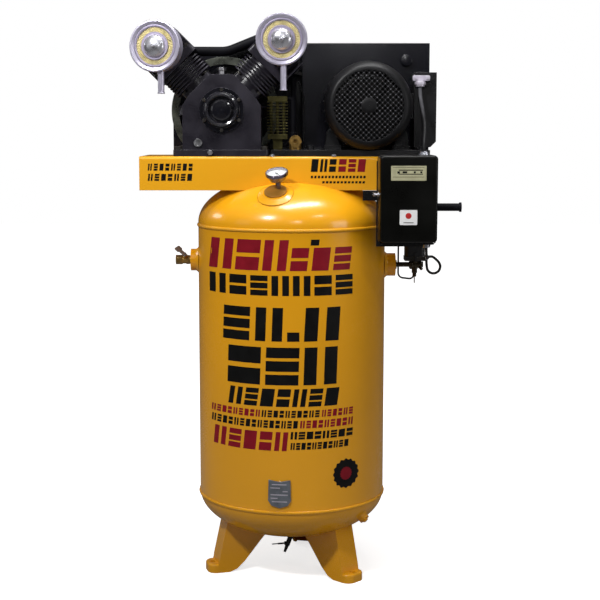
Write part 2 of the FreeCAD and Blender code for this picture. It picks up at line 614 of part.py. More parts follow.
def discharge():
    """Header between the heads, drop pipe, finned cooler and check valve."""
    header = pipe([(-330, -50, 1699), (-205, -42, 1699), (-70, -10, 1755)], 15, [90])
    heads = nodes["head_left"].fuse(nodes["head_right"])
    header = header.cut(heads)
    solids = sorted(header.Solids, key=lambda s: s.Volume)
    drop = cyl(9, 190, (5, -10, 1428)).cut(nodes["head_right"])
    drop = sorted(drop.Solids, key=lambda s: s.BoundBox.ZMin)[0]
    link_top = cyl(7, 22, (-14, -10, 1550), (1, 0, 0))
    drop = fuse([drop, cyl(13, 14, (5, -10, 1428)), link_top])
    nodes["discharge_pipes"] = group([solids[-1], drop])

    tanks = [box(-77, -14, -32, 12, 1421, 1437), box(-77, -14, -32, 12, 1542, 1558)]
    tubes = [cyl(5, 114, (x, y, 1432)) for x in (-66, -45.5, -25) for y in (-21, 1)]
    fins = [box(-79, -12, -34, 14, 1444 + 9.5 * i, 1445.6 + 9.5 * i) for i in range(11)]
    stand = box(-60, -30, -20, 0, PLAT_TOP + 20, 1421)
    nodes["aftercooler"] = fuse(tanks + tubes + fins + [stand]).cut(drop)

    riser = cyl(10, 80, (12, -70, 1322))
    elbow = fuse([cyl(19, 24, (12, -70, PLAT_TOP + 18)), Part.makeSphere(20, V(12, -70, 1414)),
                  cyl(17, 24, (12, -70, 1414), (0, -1, 0)),
                  hexagon(36, 11, (12, -86, 1414), (0, -1, 0))])
    back = cyl(8, 62, (12, -66, 1414), (-0.11, 0.93, 0.0))
    valve = fuse([riser, hexagon(30, 26, (12, -70, 1318)), cyl(9, 34, (12, -70, 1290)), elbow, back])
    valve = valve.cut(cyl(7, 14, (12, -99, 1414), (0, 1, 0)))
    valve = valve.cut(outer_body()[1]).cut(nodes["discharge_pipes"])
    nodes["check_valve"] = max(valve.Solids, key=lambda s: s.Volume)


# ---------------------------------------------------------------- drive

def belt_path(gap):
    """Solid slab round both wheels, gap inside the belt's outer line."""
    big, small = WHEEL_R - 1.5 - gap, PULLEY_R - 1.5 - gap
    span = V(MOTOR_X - PUMP_X, 0, MOTOR_Z - CRANK_Z)
    spread = math.acos((big - small) / span.Length)
    heading = math.atan2(span.z, span.x)
    corners = []
    for sign in (1, -1):
        a = heading + sign * spread
        pair = [(PUMP_X + big * math.cos(a), CRANK_Z + big * math.sin(a)),
                (MOTOR_X + small * math.cos(a), MOTOR_Z + small * math.sin(a))]
        corners += pair if sign == 1 else pair[::-1]
    return big, small, corners


def belt(y0):
    def slab(gap):
        big, small, corners = belt_path(gap)
        return fuse([prism_y(corners, y0, y0 + BELT_WIDTH),
                     cyl(big, BELT_WIDTH, (PUMP_X, y0, CRANK_Z), (0, 1, 0)),
                     cyl(small, BELT_WIDTH, (MOTOR_X, y0, MOTOR_Z), (0, 1, 0))])
    return slab(0).cut(slab(BELT_DEPTH))


def grooves(x, z, radius):
    deep = 1.5 + BELT_DEPTH + GROOVE_GAP
    return [ring(radius + 5, radius - deep, BELT_WIDTH + 2 * GROOVE_GAP,
                 (x, y - GROOVE_GAP, z), (0, 1, 0)) for y in BELT_YS]


def drive():
    depth = WHEEL_Y1 - WHEEL_Y0
    at = (PUMP_X, WHEEL_Y0, CRANK_Z)
    rim = ring(WHEEL_R, WHEEL_R - 25, depth, at, (0, 1, 0))
    hub = cyl(38, depth, at, (0, 1, 0))
    spokes = []
    for i in range(6):
        spoke = Part.makeBox(WHEEL_R - 50, 14, 34, V(30, -7, -17))
        spoke.rotate(V(), X_AXIS, 25)
        spoke.rotate(V(), Y_AXIS, 60 * i)
        spoke.translate(V(PUMP_X, WHEEL_Y0 + depth / 2, CRANK_Z))
        spokes.append(spoke)
    wheel = fuse([rim, hub] + spokes).cut(cyl(JOURNAL_R, 60, (PUMP_X, WHEEL_Y0 - 5, CRANK_Z),
                                             (0, 1, 0)))
    for groove in grooves(PUMP_X, CRANK_Z, WHEEL_R):
        wheel = wheel.cut(groove)
    nodes["flywheel"] = wheel

    pulley = cyl(PULLEY_R, depth, (MOTOR_X, WHEEL_Y0, MOTOR_Z), (0, 1, 0))
    pulley = pulley.cut(cyl(SHAFT_R, depth, (MOTOR_X, WHEEL_Y0, MOTOR_Z), (0, 1, 0)))
    pulley = pulley.cut(ring(54, 30, 16, (MOTOR_X, WHEEL_Y1 - 16, MOTOR_Z), (0, 1, 0)))
    for groove in grooves(MOTOR_X, MOTOR_Z, PULLEY_R):
        pulley = pulley.cut(groove)
    nodes["motor_pulley"] = pulley
    nodes["drive_belts"] = group([belt(y) for y in BELT_YS])


def guard_outline(inset):
    """Box over the motor pulley with a round end behind the flywheel."""
    right, top, low = 455 - inset, 1734 - inset, PLAT_TOP + 6 + inset
    arch = 183 - inset
    pts = [(right, low), (right, top), (-150, top), (-205, 1716 - inset), (-316 + inset, 1715 - inset)]
    for i in range(4):
        a = math.radians(135 + 11 * i)
        pts.append((PUMP_X + arch * math.cos(a), CRANK_Z + arch * math.sin(a)))
    last_x = pts[-1][0]
    return pts + [(last_x, low)]


def belt_guard():
    t = 2.5
    shell = prism_y(guard_outline(0), GUARD_Y0, GUARD_Y1)
    shell = shell.cut(prism_y(guard_outline(t), GUARD_Y0 + t, GUARD_Y1 - t))
    open_left = box(-520, 36, GUARD_Y0 - 5, GUARD_Y0 + t + 1, 1300, 1800)
    round_end = box(-520, PUMP_X - 2, GUARD_Y0 - 5, GUARD_Y1 - t, 1300, 1800)
    floor_gap = box(-520, 0, GUARD_Y0 - 5, GUARD_Y1 - t, 1300, PLAT_TOP + 12)
    apron = box(-385, 60, GUARD_Y1 - t, GUARD_Y1, 1332, PLAT_TOP + 20)
    shell = fuse([shell.cut(open_left).cut(round_end).cut(floor_gap), apron])
    shell = shell.cut(cyl(PULLEY_R - 24, 20, (MOTOR_X, GUARD_Y0 - 5, MOTOR_Z), (0, 1, 0)))
    for row in range(9):
        for col in range(8):
            x, z = 60 + 48 * col, 1420 + 30 * row
            vent = box(x, x + 36, GUARD_Y1 - t - 1, GUARD_Y1 + 1, z, z + 9)
            shell = shell.cut(vent)
    knob = lathe([(0, 0), (11, 0), (12, 5), (19, 9), (20, 15), (17, 20), (0, 21)],
                 (377, GUARD_Y0, 1678), (0, -1, 0))
    main = max(shell.Solids, key=lambda s: s.Volume)
    nodes["belt_guard"] = group([main, knob])


# ---------------------------------------------------------------- motor

def motor():
    def along(radius, y0, y1):
        return cyl(radius, y1 - y0, (MOTOR_X, y0, MOTOR_Z), (0, 1, 0))

    shell = along(MOTOR_R, -112, 58)
    ribs = []
    for i in range(28):
        rib = Part.makeBox(12, 160, 4, V(MOTOR_R - 4, -107, -2))
        rib.rotate(V(), Y_AXIS, 360.0 / 28 * i + 6)
        rib.translate(V(MOTOR_X, 0, MOTOR_Z))
        ribs.append(rib)
    feet = [box(MOTOR_X + s * 108 - 26, MOTOR_X + s * 108 + 26, -96, 44, PLAT_TOP + 20, 1402)
            for s in (-1, 1)]
    webs = [prism_y([(MOTOR_X + s * 84, 1396), (MOTOR_X + s * 132, 1396), (MOTOR_X + s * 128, 1440),
                     (MOTOR_X + s * 110, 1470)], y, y + 8) for s in (-1, 1) for y in (-92, 32)]
    neck = box(355, 388, -64, 24, 1486, 1566)
    frame = fuse([shell] + ribs + feet + webs + [neck])
    frame = frame.cut(along(MOTOR_R - 7, -120, 60))
    frame = frame.common(box(-200, 388, -200, 200, PLAT_TOP + 20, 1800))
    nodes["motor_frame"] = frame
    nodes["motor_base"] = motor_base()

    bells = []
    for y0, sign in ((-112, -1), (58, 1)):
        bell = lathe([(SHAFT_R + FIT, 0), (MOTOR_R, 0), (MOTOR_R, 10), (104, 22), (50, 26),
                      (SHAFT_R + FIT, 26)], (MOTOR_X, y0, MOTOR_Z), (0, sign, 0))
        bells.append(bell)
    nodes["motor_end_bells"] = group(bells)
    nodes["motor_stator"] = along(MOTOR_R - 7, -85, 32).cut(along(79, -86, 33))

    fan = [along(30, -172, -150), along(88, -153, -150)]
    for i in range(7):
        blade = Part.makeBox(60, 20, 3, V(28, -172, -1.5))
        blade.rotate(V(), Y_AXIS, 360.0 / 7 * i)
        blade.translate(V(MOTOR_X, 0, MOTOR_Z))
        fan.append(blade)
    fan = fuse(fan).cut(along(SHAFT_R, -180, -140))
    rotor = fuse([along(SHAFT_R, -174, WHEEL_Y1 + 4), along(78, -80, 28)])
    nodes["motor_rotor"] = group([rotor, fan])

    cowl = lathe([(MOTOR_R + 0.5, 0), (MOTOR_R + 4, 0), (MOTOR_R + 6, 8), (MOTOR_R + 6, 40),
                  (MOTOR_R + 1, 58), (124, 69), (114, 74), (110, 74), (110, 71.5), (114, 71),
                  (122, 66), (MOTOR_R - 2, 57), (MOTOR_R + 3.5, 40), (MOTOR_R + 3.5, 6)],
                 (MOTOR_X, -116, MOTOR_Z), (0, -1, 0))
    bars = [ring(r, r - 4, 2, (MOTOR_X, -190, MOTOR_Z), (0, 1, 0)) for r in (112, 92, 72, 52)]
    bars.append(along(25, -192, -188))
    for i in range(8):
        bar = Part.makeBox(92, 2, 4, V(20, -190, -2))
        bar.rotate(V(), Y_AXIS, 45 * i)
        bar.translate(V(MOTOR_X, 0, MOTOR_Z))
        bars.append(bar)
    nodes["fan_cowl"] = fuse([cowl] + bars)

    case = [(388, 1396), (388, 1631), (458, 1631), (458, 1414), (440, 1396)]
    cavity = [(391, 1399), (391, 1628), (455, 1628), (455, 1415), (439, 1399)]
    nodes["terminal_box"] = prism_y(case, -104, 56).cut(prism_y(cavity, -101, 53))


def motor_base():
    """Inverted tray under the motor and the cooler."""
    x0, x1, y0, y1 = -64.0, 435.0, -150.0, 94.0
    top = PLAT_TOP + 20
    tray = box(x0, x1, y0, y1, PLAT_TOP, top)
    tray = tray.cut(box(x0 + 5, x1 - 5, y0 + 5, y1 - 5, PLAT_TOP - 1, top - 6))
    posts = [cyl(14, 20, (x, y, PLAT_TOP)) for x, y in motor_base_bolts()]
    tray = fuse([tray] + posts)
    for x, y in motor_base_bolts():
        tray = tray.cut(cyl(6.5, 40, (x, y, PLAT_TOP - 5)))
    tray = tray.cut(cyl(21, 40, (12, -70, PLAT_TOP - 5)))
    tray = tray.cut(cyl(7, 40, (40, 30, PLAT_TOP - 5)))
    bolts = [bolt(19, 6.0, 30, (x, y, top), (0, 0, 1)) for x, y in motor_base_bolts()]
    return group([tray] + bolts)


# ---------------------------------------------------------------- starter

def starter():
    t = 3.0
    tray = box(BOX_X0, BOX_X1, BOX_SPLIT, BOX_BACK, BOX_Z0, BOX_Z1)
    long_edges = [e for e in tray.Edges if abs(e.Length - (BOX_BACK - BOX_SPLIT)) < 0.01]
    tray = tray.makeFillet(12, long_edges)
    tray = tray.cut(box(BOX_X0 + t, BOX_X1 - t, BOX_SPLIT - 1, BOX_BACK - t,
                        BOX_Z0 + t, BOX_Z1 - t))
    back = box(BOX_X0 - 3, BOX_X1 - 8, BOX_BACK, BOX_BACK + 2, BOX_Z0 - 13, BOX_Z1 - 20)
    ear = box(224, BOX_X0 + 2, BOX_BACK, BOX_BACK + 2, 1230, PLAT_LOW - 0.5)
    sill = box(BOX_X0 + 10, BOX_X1 - 10, BOX_SPLIT, BOX_SPLIT + 3, BOX_Z0 + 1, BOX_Z0 + 16)
    tray = fuse([tray, back, ear, sill])
    tray = tray.cut(cyl(10.5, 20, (BOX_X1 - 8, -205, 1212), (1, 0, 0)))
    tray = tray.cut(cyl(8, 20, (409, -226, BOX_Z1 - 8)))
    tray = tray.cut(cyl(8, 20, (424, -182, BOX_Z0 - 8)))
    tray = tray.cut(cyl(4, 20, (BOX_X0 - 8, -205, 1251), (1, 0, 0)))
    nodes["starter_base"] = tray

    gap = 0.6
    lid_low = BOX_Z0 + 9
    lid = box(BOX_X0, BOX_X1, BOX_FRONT, BOX_SPLIT - gap, lid_low, BOX_Z1)
    depth = BOX_SPLIT - gap - BOX_FRONT
    lid = lid.makeFillet(12, [e for e in lid.Edges if abs(e.Length - depth) < 0.01])
    lid = lid.makeFillet(8, [e for e in lid.Edges if e.CenterOfMass.y < BOX_FRONT + 0.01])
    lid = lid.cut(box(BOX_X0 + t, BOX_X1 - t, BOX_FRONT + t, BOX_SPLIT + 1, lid_low + t, BOX_Z1 - t))
    nodes["starter_cover"] = lid

    y_back = BOX_BACK - t
    contactor = fuse([box(305, 385, y_back - 62, y_back, 1245, 1335),
                      box(315, 375, y_back - 72, y_back - 62, 1262, 1318)])
    relay = box(310, 380, y_back - 55, y_back, 1165, 1244)
    rail = box(298, 392, y_back - 4, y_back, 1150, 1350)
    block = fuse([contactor, relay, rail])
    screws = [cyl(4, 3, (318 + 18 * i, y_back - 62, z), (0, -1, 0)) for i in range(4)
              for z in (1250, 1329)]
    block = fuse([block] + screws)
    block = block.cut(cyl(6.2, 30, (345, y_back - 60, 1205), (0, 1, 0)))
    nodes["starter_contactor"] = block
    nodes["reset_button"] = cyl(6.0, 14, (345, y_back - 61, 1205), (0, 1, 0))


MOTOR_CABLE = [(404, -124, 1602), (404, -124, 1563), (411, -130, 1518), (417, -150, 1479),
               (416, -178, 1450), (411, -208, 1428), (409, -226, 1402), (409, -226, 1346)]
SWITCH_CABLE = [(424, -182, 1122), (424, -182, 1070), (428, -160, 1049), (435, -115, 1043),
                (444, -65, 1044), (462, -24, 1040), (482, -4, 1022), (490, 2, 1008),
                (487, 4, 992), (475, 5, 982), (459, 5, 982), (447, 3, 992), (443.5, 1, 1012),
                (443, 0, 1036)]


def wiring():
    bar = box(381, 435, -124, -104, 1604, 1621)
    bar = bar.makeFillet(4, [e for e in bar.Edges if abs(e.Length - 20) < 0.01])
    neck = cyl(14, 22, (404, -124, 1586))
    collar = cyl(18, 9, (404, -124, 1592))
    screws = [cyl(4.5, 6, (x, -124, 1612), (0, -1, 0)) for x in (388, 428)]
    clamp = fuse([bar, neck, collar] + screws).cut(cyl(6.2, 24, (404, -124, 1582)))
    clamp = clamp.cut(box(360, 450, -104, -60, 1560, 1640))

    top_gland = fuse([ring(13, 6.2, 10, (409, -226, BOX_Z1)), ring(16, 6.2, 4, (409, -226, BOX_Z1)),
                      ring(8 - FIT, 6.2, 16, (409, -226, BOX_Z1 - 12))])
    low_gland = fuse([ring(11, 4.7, 14, (424, -182, BOX_Z0 - 14)),
                      ring(15, 4.7, 5, (424, -182, BOX_Z0 - 5)),
                      ring(8 - FIT, 4.7, 14, (424, -182, BOX_Z0 - 5))])
    earth_screw = fuse([bolt(11, 4 - FIT, 3, (BOX_X0 - 9, -205, 1251), (-1, 0, 0)),
                        cyl(4 - FIT, 12, (BOX_X0 - 9, -205, 1251), (1, 0, 0)),
                        cyl(8, 2, (BOX_X0 - 2, -205, 1251), (1, 0, 0))])
    nipple = fuse([ring(10.5 - FIT, 8.5, 20, (BOX_X1 - 12, -205, 1212), (1, 0, 0)),
                   ring(12, 8.5, 76, (BOX_X1, -205, 1212), (1, 0, 0)),
                   ring(15, 8.5, 6, (BOX_X1 + 76, -205, 1212), (1, 0, 0)),
                   ring(16, 8.5, 6, (BOX_X1, -205, 1212), (1, 0, 0))])
    entry = box(437, 450, -8, 8, 1028, 1044)
    entry = entry.makeFillet(4, [e for e in entry.Edges if abs(e.Length - 16) < 0.01
                                 and e.CenterOfMass.x > 449 and abs(e.CenterOfMass.y) < 1])
    entry = entry.cut(cyl(4.7, 12, (443, 0, 1026)))
    nodes["conduit_fittings"] = group([clamp, top_gland, low_gland, nipple, entry, earth_screw])
    nodes["motor_cable"] = pipe(MOTOR_CABLE, 5.5, natural_bends(MOTOR_CABLE))
    nodes["switch_cable"] = pipe(SWITCH_CABLE, 4.3, natural_bends(SWITCH_CABLE))


# ---------------------------------------------------------------- pressure switch

def pressure_switch():
    z = RIGHT_PORT_Z
    left = TANK_R + 35
    nipple = fuse([cyl(PORT_BORE_R - FIT, 30, (left - 26, 0, z), (1, 0, 0)),
                   hexagon(26, 5, (left, 0, z), (1, 0, 0)),
                   cyl(8, 46, (left + 4, 0, z), (1, 0, 0))])
    block = fuse([cyl(12, 40, (386, 0, z), (1, 0, 0)), cyl(11, 30, (404, 0, z - 14)),
                  hexagon(27, 9, (388, 0, z), (1, 0, 0)), cyl(9, 21, (404, 0, z), (0, 0, -1)),
                  hexagon(17, 8, (424, 0, z), (1, 0, 0)), cyl(5, 20, (415, -3, z - 3), (0.6, -0.5, -0.6))])
    block = fuse([nipple, block])
    block = block.cut(cyl(5, 20, (404, 0, z - 27)))
    nodes["manifold"] = block.cut(box(380, 450, -60, 60, z + 14, z + 60))

    low = z + 14
    base = fuse([box(370, 437, -32, 32, low, low + 14), box(378, 430, -24, 24, low + 14, low + 30),
                 cyl(6, 44, (404, 24, low - 43)), hexagon(14, 8, (404, 24, low - 30))])
    base = base.cut(cyl(3.05, 12, (404, 24, low - 44)))
    base = base.cut(cyl(3.05, 30, (404, -40, low + 7), (0, 1, 0)))
    nodes["pressure_switch"] = base
    cover = box(371, 436, -31, 31, low + 14, low + 64)
    cover = cover.makeFillet(14, [e for e in cover.Edges if abs(e.Length - 50) < 0.01])
    cover = cover.makeFillet(7, [e for e in cover.Edges if e.CenterOfMass.z > low + 63.9])
    nodes["pressure_switch_cover"] = cover.cut(box(377, 431, -25, 25, low + 13, low + 58))
    lever = fuse([cyl(3, 14, (404, -36, low + 7), (0, 1, 0)),
                  box(401, 407, -37, -33, low - 2, low + 22),
                  cyl(4.5, 4, (404, -37, low + 22), (0, 1, 0))])
    nodes["pressure_switch_lever"] = lever

    valve_z = z - 21
    safety = fuse([cyl(5 - FIT, 10, (404, 0, valve_z)), hexagon(16, 7, (404, 0, valve_z - 7)),
                   cyl(6.5, 14, (404, 0, valve_z - 19))])
    safety = safety.cut(cyl(2.1, 26, (404, 0, valve_z - 23)))
    nodes["safety_valve"] = safety
    ring_z = valve_z - 29
    pull = fuse([cyl(2.0, 22, (404, 0, ring_z + 2)),
                 Part.makeTorus(7, 1.3, V(404, 0, ring_z - 4), X_AXIS)])
    nodes["safety_valve_ring"] = pull

    drop_x, foot_z = left + 12, low - 65
    tube = [(404, 24, low - 33), (404, 24, foot_z), (drop_x, 20, foot_z + 6), (drop_x, 16, 1340),
            (drop_x - 60, 16, 1346), (120, 26, 1346), (40, 30, 1346), (40, 30, 1500),
            (40, 10, 1560), (22, 0, 1606)]
    spans = [14, 18, 18, 24, 60, 14, 60, 40]
    line = pipe(tube, 3.0, spans[:len(tube) - 2])
    nodes["unloader_tube"] = max(line.cut(nodes["head_right"]).Solids, key=lambda s: s.Volume)


# ---------------------------------------------------------------- build

def build():
    point, normal, drain_z = receiver()
    for name, angle in LEG_ANGLES.items():
        nodes[name] = leg(angle)
    needle_at, needle_axis = top_fittings(point, normal)
    cock_at, cock_axis = drain_cock(drain_z)
    valve_x = outlet_valve()
    platform()
    nameplate()
    crankcase()
    crank_train()
    pump_top()
    intake_filters()
    discharge()
    drive()
    belt_guard()
    motor()
    starter()
    wiring()
    pressure_switch()
    print("needle pivot", needle_at, needle_axis)
    print("drain stem", cock_at, cock_axis)
    print("valve stem x", valve_x, "belt ratio", (WHEEL_R - 6) / (PULLEY_R - 6))


os.makedirs("parts", exist_ok=True)
build()
for name, shape in nodes.items():
    shape.exportStep("parts/%s.step" % name)
print(len(nodes), "nodes")
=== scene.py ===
import json
import math

import bmesh
import bpy
from mathutils import Matrix, Vector


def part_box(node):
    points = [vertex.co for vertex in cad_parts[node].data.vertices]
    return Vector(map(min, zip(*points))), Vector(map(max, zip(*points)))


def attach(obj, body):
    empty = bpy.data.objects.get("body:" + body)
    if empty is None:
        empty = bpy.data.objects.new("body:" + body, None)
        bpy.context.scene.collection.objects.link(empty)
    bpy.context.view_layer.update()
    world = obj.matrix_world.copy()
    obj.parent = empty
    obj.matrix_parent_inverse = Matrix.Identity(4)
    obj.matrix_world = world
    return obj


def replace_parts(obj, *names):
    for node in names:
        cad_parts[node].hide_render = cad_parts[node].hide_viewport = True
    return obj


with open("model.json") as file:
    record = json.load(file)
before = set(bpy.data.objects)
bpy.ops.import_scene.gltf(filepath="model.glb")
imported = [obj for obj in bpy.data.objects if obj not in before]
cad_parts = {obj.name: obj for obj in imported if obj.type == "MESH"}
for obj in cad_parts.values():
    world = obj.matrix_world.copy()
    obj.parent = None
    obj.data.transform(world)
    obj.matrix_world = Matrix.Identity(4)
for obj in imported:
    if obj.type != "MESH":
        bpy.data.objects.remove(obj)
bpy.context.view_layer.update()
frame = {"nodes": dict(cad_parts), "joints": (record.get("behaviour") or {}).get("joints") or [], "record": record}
nodes = frame["nodes"]
ROOT = "receiver_and_fixed_parts"
MM = 0.001
TANK_R = 0.305
PRINT_R = TANK_R + 0.0003
WELD_SEAMS = (0.2595, 1.1435)
PUMP_AXIS = (-0.221, 1.513)
RIM_FACE_R = 0.158
# Each intake filter's middle, and the way its open face looks.
FILTERS = (((-0.421, -0.208, 1.707), (-0.17, -0.98, 0.03)),
           ((-0.031, -0.208, 1.727), (-0.05, -0.99, -0.10)))
LATTICE_PITCH = 0.0118
LATTICE_R = 0.1125
STUD_REACH = 0.106
HUB_CLEAR = 0.026
BADGE_RINGS, BADGE_STEPS = 8, 96


# ------------------------------------------------------------------ materials

def finish_of(name, color, rough, metal=0.0, coat=0.0, patch=5.0, vary=0.12, grain=350.0,
              bump=0.12, spread=0.12, edge_wear_highlight=0.25, edge_wear_highlight_color=None, edge=0.0012, specular=0.5):
    """Procedural finish: tonal patches, fine grain in bump and roughness, and edges lightened partly as wear and
    partly as a painted highlight.
    """
    mat = bpy.data.materials.new(name)
    mat.use_nodes = True
    tree = mat.node_tree
    tree.nodes.clear()
    add, link = tree.nodes.new, tree.links.new
    out = add("ShaderNodeOutputMaterial")
    shader = add("ShaderNodeBsdfPrincipled")
    shader.name = "shader"
    shader.inputs["Metallic"].default_value = metal
    shader.inputs["Coat Weight"].default_value = coat
    shader.inputs["Coat Roughness"].default_value = 0.08
    shader.inputs["Specular IOR Level"].default_value = specular
    link(shader.outputs[0], out.inputs[0])
    place = add("ShaderNodeTexCoord")

    def noise(scale, detail):
        n = add("ShaderNodeTexNoise")
        n.inputs["Scale"].default_value = scale
        n.inputs["Detail"].default_value = detail
        link(place.outputs["Object"], n.inputs["Vector"])
        return n.outputs["Fac"]

    def span(source, low, high, to_low, to_high):
        n = add("ShaderNodeMapRange")
        link(source, n.inputs["Value"])
        for key, value in (("From Min", low), ("From Max", high), ("To Min", to_low),
                           ("To Max", to_high)):
            n.inputs[key].default_value = value
        return n.outputs["Result"]

    def mix(factor, a, b):
        n = add("ShaderNodeMix")
        n.data_type = "RGBA"
        link(factor, n.inputs["Factor"])
        for socket, value in ((n.inputs[6], a), (n.inputs[7], b)):
            if isinstance(value, bpy.types.NodeSocket):
                link(value, socket)
            else:
                socket.default_value = (*value, 1)
        return n.outputs[2]

    patches, fine = noise(patch, 5), noise(grain, 3)
    darker = tuple(c * (1 - vary) for c in color)
    lighter = tuple(min(1.0, c * (1 + vary)) for c in color)
    tone = mix(span(patches, 0.3, 0.7, 0, 1), darker, lighter)

    # Edge mask from the bevel: edges blend towards a lighter colour, partly real wear and partly a painted
    # highlight along lit edges.
    bevel = add("ShaderNodeBevel")
    bevel.samples = 4
    bevel.inputs["Radius"].default_value = edge
    face = add("ShaderNodeNewGeometry")
    turn = add("ShaderNodeVectorMath")
    turn.operation = "DOT_PRODUCT"
    link(bevel.outputs[0], turn.inputs[0])
    link(face.outputs["Normal"], turn.inputs[1])
    worn_and_lit_edges = span(turn.outputs["Value"], 0.995, 0.9, 0, edge_wear_highlight)
    patchy_worn_and_lit_edges = add("ShaderNodeMath")
    patchy_worn_and_lit_edges.operation = "MULTIPLY"
    link(worn_and_lit_edges, patchy_worn_and_lit_edges.inputs[0])
    link(span(noise(60.0, 3), 0.35, 0.6, 0.2, 1), patchy_worn_and_lit_edges.inputs[1])
    light = edge_wear_highlight_color or tuple(min(1.0, 0.25 + c) for c in color)
    link(mix(patchy_worn_and_lit_edges.outputs[0], tone, light), shader.inputs["Base Color"])

    gloss = add("ShaderNodeMath")
    gloss.operation = "ADD"
    link(span(patches, 0.3, 0.7, rough - spread / 2, rough + spread / 2), gloss.inputs[0])
    link(span(fine, 0.3, 0.7, -spread / 4, spread / 4), gloss.inputs[1])
    link(gloss.outputs[0], shader.inputs["Roughness"])

    relief = add("ShaderNodeBump")
    relief.name = "relief"
    relief.inputs["Strength"].default_value = bump
    relief.inputs["Distance"].default_value = 0.0006
    link(fine, relief.inputs["Height"])
    link(bevel.outputs[0], relief.inputs["Normal"])
    link(relief.outputs[0], shader.inputs["Normal"])
    return mat


def weld_ripple(mat, heights):
    """Adds the welder's overlapping scales in a band round each seam height."""
    tree = mat.node_tree
    add, link = tree.nodes.new, tree.links.new

    def math_node(operation, first, second=None):
        n = add("ShaderNodeMath")
        n.operation = operation
        for socket, value in zip(n.inputs, (first, second)):
            if isinstance(value, bpy.types.NodeSocket):
                link(value, socket)
            elif value is not None:
                socket.default_value = value
        return n.outputs[0]

    place = add("ShaderNodeTexCoord")
    split = add("ShaderNodeSeparateXYZ")
    link(place.outputs["Object"], split.inputs[0])
    around = math_node("ARCTAN2", split.outputs["Y"], split.outputs["X"])
    sine = math_node("SINE", math_node("MULTIPLY", around, 420.0))
    bands = 0.0
    for height in heights:
        gap = math_node("ABSOLUTE", math_node("SUBTRACT", split.outputs["Z"], height))
        near = add("ShaderNodeMapRange")
        link(gap, near.inputs["Value"])
        near.inputs["From Min"].default_value = 0.007
        near.inputs["From Max"].default_value = 0.003
        bands = math_node("ADD", near.outputs[0], bands)
    second = add("ShaderNodeBump")
    second.inputs["Strength"].default_value = 0.5
    second.inputs["Distance"].default_value = 0.0008
    link(math_node("MULTIPLY", sine, bands), second.inputs["Height"])
    link(tree.nodes["relief"].outputs[0], second.inputs["Normal"])
    link(second.outputs[0], tree.nodes["shader"].inputs["Normal"])


def fade_down(mat, high, low, color):
    """Blends the base colour into another one from one height down to a lower one."""
    tree = mat.node_tree
    add, link = tree.nodes.new, tree.links.new
    shader = tree.nodes["shader"]
    place = add("ShaderNodeTexCoord")
    split = add("ShaderNodeSeparateXYZ")
    link(place.outputs["Object"], split.inputs[0])
    part = add("ShaderNodeMapRange")
    link(split.outputs["Z"], part.inputs["Value"])
    part.inputs["From Min"].default_value = high
    part.inputs["From Max"].default_value = low
    blend = add("ShaderNodeMix")
    blend.data_type = "RGBA"
    link(part.outputs[0], blend.inputs["Factor"])
    link(shader.inputs["Base Color"].links[0].from_socket, blend.inputs[6])
    blend.inputs[7].default_value = (*color, 1)
    link(blend.outputs[2], shader.inputs["Base Color"])
